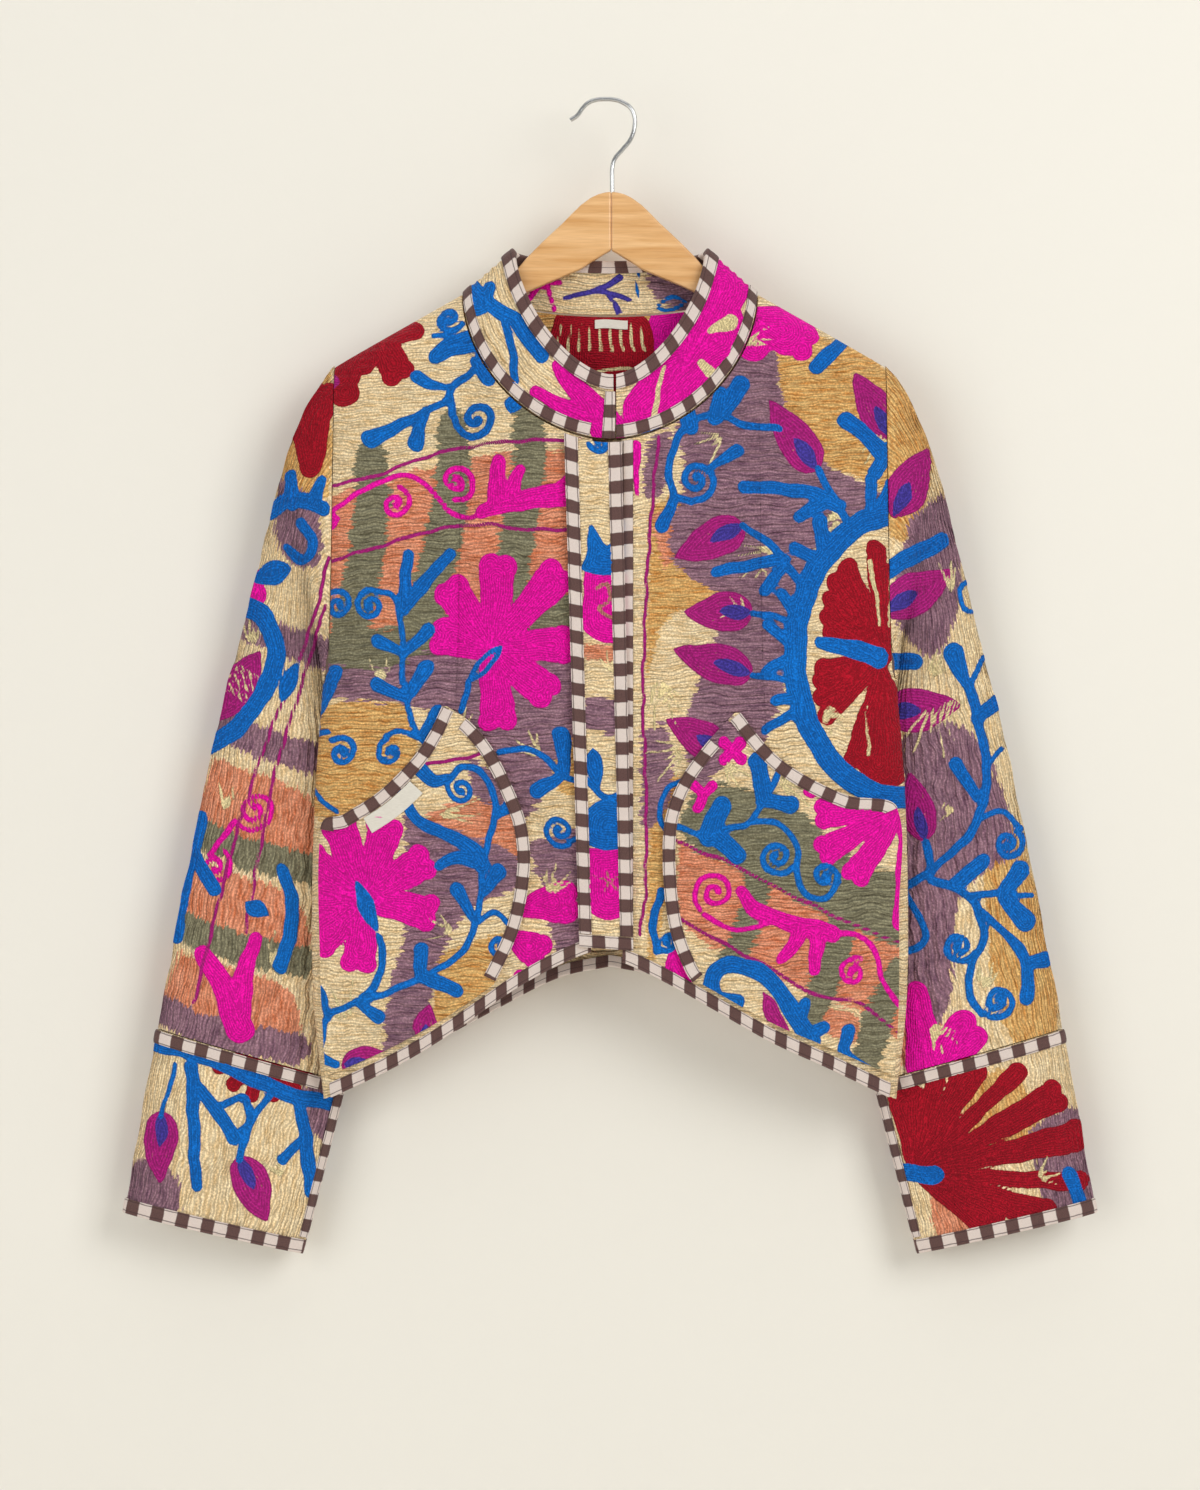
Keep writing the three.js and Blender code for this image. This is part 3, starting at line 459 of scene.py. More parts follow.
def petal(x, down, angle, long, base, tip, lobes=2):
    """A petal that widens from its base to a scalloped end."""
    start, a = spot(x, down), math.radians(angle)
    way, side = np.array([math.cos(a), math.sin(a)]), np.array([-math.sin(a), math.cos(a)])
    lobe = tip / (2 * lobes) * (1.2 if lobes > 1 else 1)
    _, blade = stroke(np.array([start, start + way * (long - tip * 0.66)]),
                      np.array([base / 2, tip * 0.46]))
    ends = [start + way * (long - lobe - abs(k) * tip * 0.22 / lobes) + side * k * tip * 0.86 / lobes
            for k in np.arange(lobes) - (lobes - 1) / 2]

    def distance(px, pz):
        best = blade(px, pz)
        for ex, ez in ends:
            best = np.minimum(best, np.hypot(px - ex, pz - ez) - lobe)
        return best
    return frame_of([start, start + way * long], tip), distance


def patch(points):
    """A piece of another old cloth laid on, with a soft outline."""
    p = np.array([spot(*q) for q in points])
    line = smooth_line(np.vstack([p, p[:1]]), 5)

    def distance(x, z):
        best = np.full(x.shape, 1e9)
        inside = np.zeros(x.shape, bool)
        for (ax, az), (bx, bz) in zip(line, line[1:]):
            dx, dz = bx - ax, bz - az
            t = np.clip(((x - ax) * dx + (z - az) * dz) / max(dx * dx + dz * dz, 1e-9), 0, 1)
            best = np.minimum(best, np.hypot(x - ax - t * dx, z - az - t * dz))
            if az != bz:
                inside ^= ((az > z) != (bz > z)) & (x < dx * (z - az) / (bz - az) + ax)
        return np.where(inside, -best, best)
    return frame_of(line, 4), distance


def line_round(pen, thick):
    """Only a pen's outline, of some thickness."""
    reach, distance = pen
    return reach, lambda x, z: np.abs(distance(x, z) + thick / 2) - thick / 2


def cut_from(pen, *others):
    """A pen's shape less the shapes of others."""
    reach, distance = pen
    return reach, lambda x, z: np.maximum.reduce([distance(x, z), *(-other[1](x, z) for other in others)])


def flower(colour, x, down, rays, base=15, tip=27):
    """A bloom whose petals are given one by one as (angle, length, lobes)."""
    return [(colour, petal(x, down, angle, long, base, tip * (0.62 if lobes == 1 else 1), lobes))
            for angle, long, lobes in rays]


def bud(x, down, angle, long, wide):
    """A plum-coloured bud with a violet heart at its stalk, streaked with the ground's thread."""
    a = math.radians(angle)
    dx, dz = math.cos(a) * long / STEP, -math.sin(a) * long / STEP
    made = [("plum", leaf(x, down, angle, long, wide, 0.36)),
            ("violet", leaf(x, down, angle, long * 0.5, wide * 0.38, 0.5))]
    for k in (-1, 1):
        off = k * wide * 0.2 / STEP
        points = [(x + dx * t + math.sin(a) * off, down + dz * t + math.cos(a) * off) for t in (0.34, 0.5,
            0.68)]
        made.append(("ochre_fleck", vine(points, 0.7, 0.4, 3)))
    return made


def scribble(x, down, angle, long, count=5, spread=70, colour="cream"):
    """A few loose running stitches that fan out over the ground."""
    made = []
    for k in range(count):
        a = math.radians(angle + spread * (k / (count - 1) - 0.5))
        reach = long * (0.75 + 0.25 * math.sin(k * 2.4)) / STEP
        made.append((colour, vine([(x + 0.25 * reach * math.cos(a), down - 0.25 * reach * math.sin(a)),
                                   (x + reach * math.cos(a + 0.1), down - reach * math.sin(a + 0.1))], 2.2,
                                  1.6, 2)))
    return made


GROUNDS = ("ochre", "salmon", "olive", "mauve")
THICK = ("magenta", "crimson", "plum", "violet", "blue")
LAYERS = (*GROUNDS, "magenta", "crimson", "plum", "ochre_fleck", "cream", "violet", "blue")
FAR = 12.0  # distances from a shape are kept up to this


def embroider(x, z, design):
    """Distance in mm to each colour's shapes over a panel, at the places of its vertices."""
    shape = x.shape
    x, z = x.ravel(), z.ravel()
    wobbly_x = x + 0.6 * np.sin(z / 6.1) + 0.3 * np.sin(z / 2.7 + x / 9)
    wobbly_z = z + 0.6 * np.sin(x / 5.7 + 1) + 0.3 * np.sin(x / 3.1 + z / 8)
    layers = {name: np.full(x.shape, FAR) for name in LAYERS}
    for colour, (reach, distance) in design:
        near = ((x > reach[0] - FAR) & (x < reach[2] + FAR) & (z > reach[1] - FAR) & (z < reach[3] + FAR))
        if near.any():
            layers[colour][near] = np.minimum(layers[colour][near],
                                              distance(wobbly_x[near], wobbly_z[near]))
    return {name: values.reshape(shape) for name, values in layers.items()}


def raised_by(layers):
    """How far the thick embroidery stands above the plain quilting, in mm."""
    nearest = np.minimum.reduce([layers[name] for name in THICK])
    return 0.55 * np.clip(0.5 - nearest / 2.2, 0, 1)


def new_piece(name, places, faces, marks):
    """A linked and picked piece made of places in mm and faces, with marks on its vertices."""
    mesh = bpy.data.meshes.new(name)
    mesh.from_pydata((places.reshape(-1, 3) / 1000).tolist(), [], faces)
    for mark, values in marks.items():
        mesh.attributes.new(mark, "FLOAT", "POINT").data.foreach_set("value",
                                                                     values.ravel().astype(np.float32))
    piece = bpy.data.objects.new(name, mesh)
    bpy.context.scene.collection.objects.link(piece)
    pick(piece)
    return piece


def cloth_wall(name, outer, inner, outer_marks, inner_marks, ring=False, flip=False):
    """A closed wall of cloth between an outer and an inner grid of places, with marks on every vertex."""
    def numbered(grid, first):
        rows, columns = grid.shape[:2]
        used = columns - 1 if ring else columns
        index = first + np.arange(rows)[:, None] * used + np.arange(columns)[None, :] % used
        return index, grid[:, :used].reshape(-1, 3), used

    out_i, out_p, out_used = numbered(outer, 0)
    in_i, in_p, in_used = numbered(inner, len(out_p))

    def quads(index, turned):
        a, b, d, e = index[:-1, :-1], index[:-1, 1:], index[1:, :-1], index[1:, 1:]
        order = (a, b, e, d) if turned else (a, d, e, b)
        return np.stack(order, -1).reshape(-1, 4)

    faces = np.vstack([quads(out_i, flip), quads(in_i, not flip)]).tolist()

    def zip_edges(one, other):
        i = j = 0
        ones, others = len(one) - 1, len(other) - 1
        while i < ones or j < others:
            if j == others or (i < ones and (i + 1) * others <= (j + 1) * ones):
                tri = (one[i], other[j], one[i + 1])
                i += 1
            else:
                tri = (one[i], other[j], other[j + 1])
                j += 1
            faces.append([int(k) for k in (tri if flip else tri[::-1])])

    zip_edges(out_i[0], in_i[0])
    zip_edges(in_i[-1], out_i[-1])
    if not ring:
        zip_edges(in_i[:, 0], out_i[:, 0])
        zip_edges(out_i[:, -1], in_i[:, -1])
    marks = {mark: np.concatenate([outer_marks[mark][:, :out_used].ravel(),
                                   inner_marks[mark][:, :in_used].ravel()])
             for mark in outer_marks}
    piece = new_piece(name, np.vstack([out_p, in_p]), faces, marks)
    piece.data.polygons.foreach_set("use_smooth", [True] * len(piece.data.polygons))
    bpy.ops.object.shade_smooth_by_angle(angle=math.radians(60))
    return piece


FLAT_EDGE = 12.0  # how far from a panel's edges its swells die away under the tapes


def quilted_piece(name, at, columns, rows, design, node, cut, ring=False,
                  flip=False,
                  coarse=4, marks=None, lining=None, row_places=None, seed=1):
    """One panel of quilted cloth: its dense embroidered face and its coarser inner face, at(u, v, height)."""
    def face(columns_here, rows_here, is_outer):
        u = np.linspace(0, 1, columns_here + 1)[None, :]
        v = np.linspace(0, 1, rows_here + 1)
        if row_places is not None:
            v = row_places(v)
        u, v = np.broadcast_arrays(u, v[:, None])
        flat = at(u, v, 0.0 if is_outer else -CLOTH)
        layers = embroider(flat[..., 0], flat[..., 2], design if is_outer or lining is None else lining)
        rows_mm, run_mm = marks(u, v, flat)
        layers.update(rows=rows_mm, run=run_mm)
        if is_outer:
            edge = np.clip(np.minimum(v, 1 - v) * cut[1] * 1000 / FLAT_EDGE, 0, 1)
            if not ring:
                edge = edge * np.clip(np.minimum(u, 1 - u) * cut[0] * 1000 / FLAT_EDGE, 0, 1)
            swell = crumple(flat[..., 0], flat[..., 2], seed) + stitched_ripple(rows_mm, run_mm)
            flat = at(u, v, edge * (swell + raised_by(layers)))
        return flat, layers

    outer, outer_marks = face(columns, rows, True)
    inner, inner_marks = face(columns // coarse, rows // coarse, False)
    piece = cloth_wall(name, outer, inner, outer_marks, inner_marks, ring, flip)
    piece.data.materials.append(QUILTING)
    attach(piece, "root")
    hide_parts(node)


LOOP_SCALE = 560.0  # loops of chain stitch in a metre of the noise that makes them
FINE_RIPPLE = 0.8976  # radians a millimetre


def new_group(name, inputs, output):
    """A shader group of numbers, with its input and output nodes."""
    made = bpy.data.node_groups.new(name, "ShaderNodeTree")
    for socket in inputs:
        made.interface.new_socket(socket, in_out="INPUT", socket_type="NodeSocketFloat")
    made.interface.new_socket(output, in_out="OUTPUT", socket_type="NodeSocketFloat")
    return made, made.nodes.new("NodeGroupInput"), made.nodes.new("NodeGroupOutput")


def stitch_groups():
    """Two shader groups: a ragged edge of stitches round a motif, and the rise of chain stitch."""
    edge, given, out = new_group("stitched edge", ("Distance", "Ragged"), "Mask")
    loops = noise(edge, object_place(edge), 620.0, 1.0)
    wander = math_node(edge, "MULTIPLY", math_node(edge, "SUBTRACT", loops, 0.5), given.outputs["Ragged"])
    inside = math_node(edge, "SUBTRACT", wander, given.outputs["Distance"])
    edge.links.new(stretched(edge, inside, -0.25, 0.25), out.inputs["Mask"])

    thread, given, out = new_group("chain stitch", ("Across", "Pitch"), "Height")
    cells = add_node(thread, "ShaderNodeTexVoronoi", {"Vector": object_place(thread), "Scale": LOOP_SCALE},
                     feature="F1").outputs["Distance"]
    rows_of = math_node(thread, "SINE", math_node(thread, "DIVIDE", math_node(
        thread, "MULTIPLY", given.outputs["Across"], TURN), given.outputs["Pitch"]))
    height = math_node(thread, "SUBTRACT", math_node(thread, "MULTIPLY", rows_of, 0.3),
                       math_node(thread, "MULTIPLY", cells, 1.1))
    thread.links.new(height, out.inputs["Height"])
    return edge, thread


STITCHED_EDGE, CHAIN_STITCH = stitch_groups()


def use_group(tree, group, **inputs):
    node = tree.nodes.new("ShaderNodeGroup")
    node.node_tree = group
    for key, value in inputs.items():
        if isinstance(value, bpy.types.NodeSocket):
            tree.links.new(value, node.inputs[key])
        else:
            node.inputs[key].default_value = value
    return node.outputs[0]


THREADS = {  # each colour of thread, its darker shade, and how ragged its edge is
    "ochre": ("#f0c47e", "#d08c44", 3.0), "salmon": ("#f4a582", "#d2764e", 3.0),
    "olive": ("#959074", "#6f6a54", 2.4), "mauve": ("#a67f8d", "#765366", 1.6),
    "magenta": ("#ff0fb4", "#e0069a", 0.9), "crimson": ("#b81028", "#8a0a1c", 0.9),
    "plum": ("#c2268a", "#9c1a72", 0.8), "ochre_fleck": ("#d29a76", "#a8506a", 1.6),
    "cream": ("#f3e4b4", "#dcc68c", 0.8),
    "violet": ("#5044ac", "#3c318c", 0.7), "blue": ("#0d78d6", "#0a60b8", 0.7),
}


def mark_of(tree, name):
    """A mark that the vertices carry."""
    return add_node(tree, "ShaderNodeAttribute", attribute_name=name).outputs["Fac"]


def quilting():
    """Layered cream cotton with patches of other old cloth, under thick chain-stitched motifs."""
    made = new_material("kantha_quilting")
    tree = made.node_tree
    place = object_place(tree)
    rows_mm, run_mm = mark_of(tree, "rows"), mark_of(tree, "run")
    lay = add_node(tree, "ShaderNodeCombineXYZ", {"X": math_node(tree, "DIVIDE", run_mm, 16.0),
                                                  "Y": math_node(tree, "DIVIDE", rows_mm, 3.0)}).outputs[0]
    streak = noise(tree, lay, 1.0, 3.0, Roughness=0.6)
    streaks = stretched(tree, streak, 0.4, 0.66)
    fade = noise(tree, place, 14.0, 3.0)
    torn = math_node(tree, "MULTIPLY", math_node(tree, "SUBTRACT", streak, 0.52), 20.0)
    colour = blend_colours(tree, streaks, srgb("#ffe8bd"), srgb("#edca94"))
    embroidered = None
    for name, (light, dark, ragged) in THREADS.items():
        distance = mark_of(tree, name)
        ground = name in GROUNDS
        if ground:
            distance = math_node(tree, "ADD", distance, torn)
        mask = use_group(tree, STITCHED_EDGE, Distance=distance, Ragged=ragged)
        shade = blend_colours(tree, streaks if ground else fade, srgb(light), srgb(dark))
        colour = blend_colours(tree, mask, colour, shade)
        if not ground:
            embroidered = mask if embroidered is None else math_node(tree, "MAXIMUM", embroidered, mask)
    nearest = mark_of(tree, THICK[0])
    for name in THICK[1:]:
        nearest = math_node(tree, "MINIMUM", nearest, mark_of(tree, name))
    motif_rows = use_group(tree, CHAIN_STITCH, Across=nearest, Pitch=1.9)
    wavy = math_node(tree, "ADD", rows_mm, math_node(tree, "MULTIPLY", noise(tree, place, 34.0), 15.0))
    plain_rows = use_group(tree, CHAIN_STITCH, Across=wavy, Pitch=2.3)
    stitches = add_node(tree, "ShaderNodeMix", {0: embroidered, 2: plain_rows, 3: motif_rows}).outputs[0]
    ripple = math_node(tree, "SINE", math_node(tree, "MULTIPLY", wavy, FINE_RIPPLE))
    ripple = math_node(tree, "MULTIPLY", ripple, math_node(tree, "MULTIPLY", noise(tree, place, 45.0), 2.6))
    calm = math_node(tree, "SUBTRACT", 1.0, math_node(tree, "MULTIPLY", embroidered, 0.8))
    height = math_node(tree, "ADD", math_node(tree, "MULTIPLY", stitches, 0.42), math_node(
        tree, "ADD", math_node(tree, "MULTIPLY", math_node(tree, "MULTIPLY", ripple, calm), 0.4),
        math_node(tree, "MULTIPLY", embroidered, 0.35)))
    bump = add_node(tree, "ShaderNodeBump", {"Height": height, "Strength": 1.0, "Distance": 0.0019})
    # Painted shade and highlight: the stitches' height darkens the colour in the hollows between loops and
    # rows and lightens their raised tops, and each loop is also given a random tone of its own.
    painted_shade_and_tone = stretched(tree, stitches, -0.75, 0.1, 0.7, 1.3)
    grains = add_node(tree, "ShaderNodeTexVoronoi", {"Vector": place, "Scale": LOOP_SCALE}).outputs["Color"]
    painted_shade_and_tone = math_node(tree, "MULTIPLY", painted_shade_and_tone, stretched(tree, grains, 0.0, 1.0, 0.84, 1.12))
    painted_shade_and_tone_grey = add_node(tree, "ShaderNodeCombineColor", {0: painted_shade_and_tone, 1: painted_shade_and_tone, 2: painted_shade_and_tone}).outputs[0]
    colour = blend_colours(tree, 1.0, colour, painted_shade_and_tone_grey, "MULTIPLY")
    return finish_material(made, Base_Color=colour, Roughness=0.88, Sheen_Weight=0.05, Sheen_Roughness=0.5,
                           Specular_IOR_Level=0.16, Normal=bump.outputs[0])


QUILTING = quilting()


def back_at(u, v, height, rise=0.0):
    """From the right side seam (u = 0) to the left one, and from the shoulders and neck down to the hem."""
    out = np.abs(u * 2 - 1)
    past = np.clip(out * 2 - 1, 0, 1)
    plain = np.where(out < 0.5, NECK_SHARE * out * 2,
                     np.sin(between(math.asin(NECK_SHARE), math.pi / 2, past)))
    neck = NECK_Z - BACK_DIP * (1 - (plain / NECK_SHARE) ** 2)
    top = np.where(out < 0.5, neck, shoulder_z(plain)) - SEAM / 2
    z = between(top, read_off(*BACK_HEM, plain * body_half(HEM_LEVEL)), v) + rise
    share = plain * between(1, side_share(z), past)
    return on_body(np.sign(u * 2 - 1) * np.arcsin(share), z, 1, height)


def crowded_top(v):
    """Rows that lie closer together where the cloth rounds over the hanger."""
    return between(v, v**2, 0.35 * (1 - v))


def level_rows(u, v, places):
    return places[..., 2] - 0.02 * places[..., 0], places[..., 0]


BACK_RING = (0.0, 55.0, 104.0, 112.0)  # as for the left front's ring below


def round_ring(turn, out):
    """A place outside the back's ring, towards an angle."""
    x, down, wide, high = BACK_RING
    return (x + (wide + out) * math.cos(math.radians(turn)) / STEP,
            down - (high + out) * math.sin(math.radians(turn)) / STEP)


BACK_DESIGN = [
    # grounds of other cloth
    ("mauve", patch([(-26, 27), (-14, 24), (-6, 27), (-15, 34), (-19, 46), (-27, 50)])),
    ("ochre", patch([(6, 24), (18, 25), (27, 31), (25, 42), (16, 40), (8, 33)])),
    ("salmon", patch([(-28, 76), (-17, 73), (-12, 80), (-16, 92), (-28, 98)])),
    ("mauve", patch([(14, 74), (27, 70), (28, 96), (20, 92), (12, 84)])),
    ("salmon", patch([(17, 46), (27, 44), (28, 62), (19, 62)])),
    ("ochre", patch([(-27, 52), (-18, 54), (-17, 66), (-26, 70)])),
    ("ochre", patch([(-7, 73), (8, 73), (6, 82), (-6, 82)])),
    ("mauve", patch([(-5, 42), (5, 42), (5, 48), (-5, 48)])),
    *[("olive", vine([(x, 74), (x - 1, 84), (x - 2.4, 96)], 18, 18)) for x in (-24, -18.6, -13.4)],
    *[("olive", vine([(20, down), (28, down + 0.6)], 15, 15)) for down in (48, 53, 58)],
    *scribble(-20, 70, 20, 44, 6, 80), *scribble(21, 67, 100, 40, 6, 80), *scribble(10, 80, 250, 36, 5, 60),
    *scribble(-23, 33, 60, 40, 6, 70), *scribble(12, 29, 200, 40, 6, 60), *scribble(-3, 40, 90, 26, 4, 70),
    # a ring of blue with buds and leaves round it and a crimson flower inside
    ("blue", bow(*BACK_RING, 0, 360, 17)),
    *[part for turn in range(15, 360, 30) for part in bud(*round_ring(turn, 26), turn, 44, 27)],
    *[("blue", vine([round_ring(turn, 2), round_ring(turn, 28)], 6, 6)) for turn in range(15, 360, 30)],
    *[("blue", vine([round_ring(turn, 4), round_ring(turn + lean, 26)], 9, 11))
      for turn in range(0, 360, 30) for lean in (-4, 5)],
    *flower("crimson", 0, 55, [(turn, 88, 2) for turn in range(22, 382, 45)], 15, 38),
    *[("cream", vine([(0.9 * math.cos(a), 55 - 0.9 * math.sin(a)), (9 * math.cos(a), 55 - 9 * math.sin(a))],
                     2, 3))
      for a in np.radians(range(0, 360, 45))],
    ("blue", bow(0, 55, 8, 8, 0, 360, 15)),
    # two fine lines, and between them a vine of magenta under the neck
    *strokes("plum", (3, 3, (-22, 28), (-10, 31.6), (0, 32.4), (10, 31.6), (22, 28)),
         (3, 3, (-22, 22.6), (-10, 26), (0, 26.8), (10, 26), (22, 22.6))),
    ("magenta", vine([(-16, 25.6), (-9, 28.6), (0, 29.6), (9, 28.6), (16, 25.6)], 5, 5)),
    *[("magenta", spiral(x, 28.4, 14, 90, 1.5, hand, 4.2)) for x, hand in ((-12.6, 1), (12.6, -1))],
    *[("magenta", vine([(x, 29), (x * 0.7, 27.4)], 8, 15)) for x in (-6.4, -3.4, 3.4, 6.4)],
    # a bloom over each side of the hem and the branches that climb from it
    *[part for side in (-1, 1) for part in flower("magenta", 18.4 * side, 81, [
        (90 + side * lean, 62, 2) for lean in (0, 42, 84, 126, 168, 210, 252, 312)], 16, 29)],
    *[("blue", leaf(18 * side, 83, 90 - 18 * side, 40, 14, 0.5)) for side in (-1, 1)],
    *[("blue", vine([(9 * side, 80), (12 * side, 76), (18 * side, 72.6), (23 * side, 66), (23.4 * side, 56),
                     (21.6 * side, 46),
                     (22.6 * side, 38)], 6, 6)) for side in (-1, 1)],
    *[("blue", vine([(x * side, down), ((x + dx) * side, down + dd)], 7, 13)) for side in (-1, 1) for x,
      down, dx, dd in (
        (14, 74.6, -1, -3), (20.6, 69.6, 3.6, 0.4), (23, 63, -2.6, -2.4), (23.4, 58, 2.8, -2.6),
          (22.6, 51, -2.4, -2.6),
        (21.6, 45, 3, -2.4), (22.4, 39.4, -2, -3.2))],
    *[("blue", spiral((x + 1.9) * side, down, 13, 90, 1.5, -side, 4.6)) for side in (-1, 1) for x, down in (
        (23.4, 71), (18.6, 47))],
    *[part for side in (-1, 1) for part in flower("crimson", 24 * side, 24.6, [
        (270, 62, 2), (270 - 34 * side, 56, 2), (270 + 34 * side, 50, 2)], 14, 26)],
    *[part for x in (-9, 0, 9) for part in bud(x, 84, 90, 40, 26)],
    *[("blue", vine([(x - 3.4, 84.6), (x, 84), (x + 3.4, 84.6)], 5, 5)) for x in (-9, 0, 9)],
]
BACK_LINING = [
    ("ochre", patch([(-9, 20), (9, 20), (10, 29), (0, 31), (-10, 29)])),
    ("crimson", patch([(-5, 21.4), (3.8, 21.4), (5, 26), (4.4, 30), (-5, 30), (-6, 26)])),
    *[("cream", vine([(x, 22.4), (x * 1.1, 25)], 2, 3)) for x in np.arange(-4.4, 3.9, 1)],
    ("cream", vine([(-5, 27), (-2, 27.4), (1, 26.8), (4, 27.2)], 2.6, 2.6)),
    ("magenta", patch([(4.6, 21), (8, 21), (8, 25.4), (4.2, 25)])),
    ("crimson", vine([(-3, 28.6), (0, 29.2), (3, 28.6)], 9, 9)),
]
quilted_piece("back_panel", back_at, 168, 200, BACK_DESIGN, "back", cut=(0.47, 0.634),
              flip=True, coarse=1,
              marks=level_rows, row_places=crowded_top, seed=3, lining=BACK_LINING)

# The fronts. Two panels cut like the back, with a deep rounded neck and a hem that swings down to the side
# seams. They are sewn to it at the shoulders and sides and left open down the middle.
NECK_DEPTH = 116.0
NECK_POWER = 1.85
NECK_START = 0.4
RIGHT_HEM = ([-30, 8, 39, 75, 125, 170, 236], [-659, -665, -677, -697, -731, -757, -787])
LEFT_HEM = ([-30, 8, 39, 75, 125, 170, 236], [-668, -675, -689, -709, -737, -757, -787])
FRONT_EDGE = {"right": 14.0, "left": 9.0}


def bowed(value, power):
    return np.sign(value) * np.abs(value) ** (2 / power)


def neck_share(angle):
    return NECK_SHARE * bowed(np.cos(angle), NECK_POWER)


def neck_z(angle):
    return NECK_Z - NECK_DEPTH * bowed(np.sin(angle), NECK_POWER)


def neck_angle(x):
    return np.arccos(np.clip(np.abs(x) / NECK_HALF, 0, 1) ** (NECK_POWER / 2))


def front_at(hand, hem, edge):
    last = float(neck_angle(edge))

    def at(u, v, height, rise=0.0):
        """From the side seam (u = 0) over the shoulder to the neck and then to the front edge (u = 1)."""
        on_shoulder = u < NECK_START
        turn = between(math.pi / 2, math.asin(NECK_SHARE), np.clip(u / NECK_START, 0, 1))
        angle = between(0, last, np.clip((u - NECK_START) / (1 - NECK_START), 0, 1))
        plain = np.where(on_shoulder, np.sin(turn), neck_share(angle))
        top = np.where(on_shoulder, shoulder_z(plain), neck_z(angle)) - SEAM / 2
        z = between(top, read_off(*hem, plain * body_half(HEM_LEVEL)), v) + rise
        share = plain * np.where(on_shoulder, between(side_share(z), 1, np.clip(u / NECK_START, 0, 1)), 1)
        return on_body(hand * np.arcsin(share), z, -1, height)
    return at


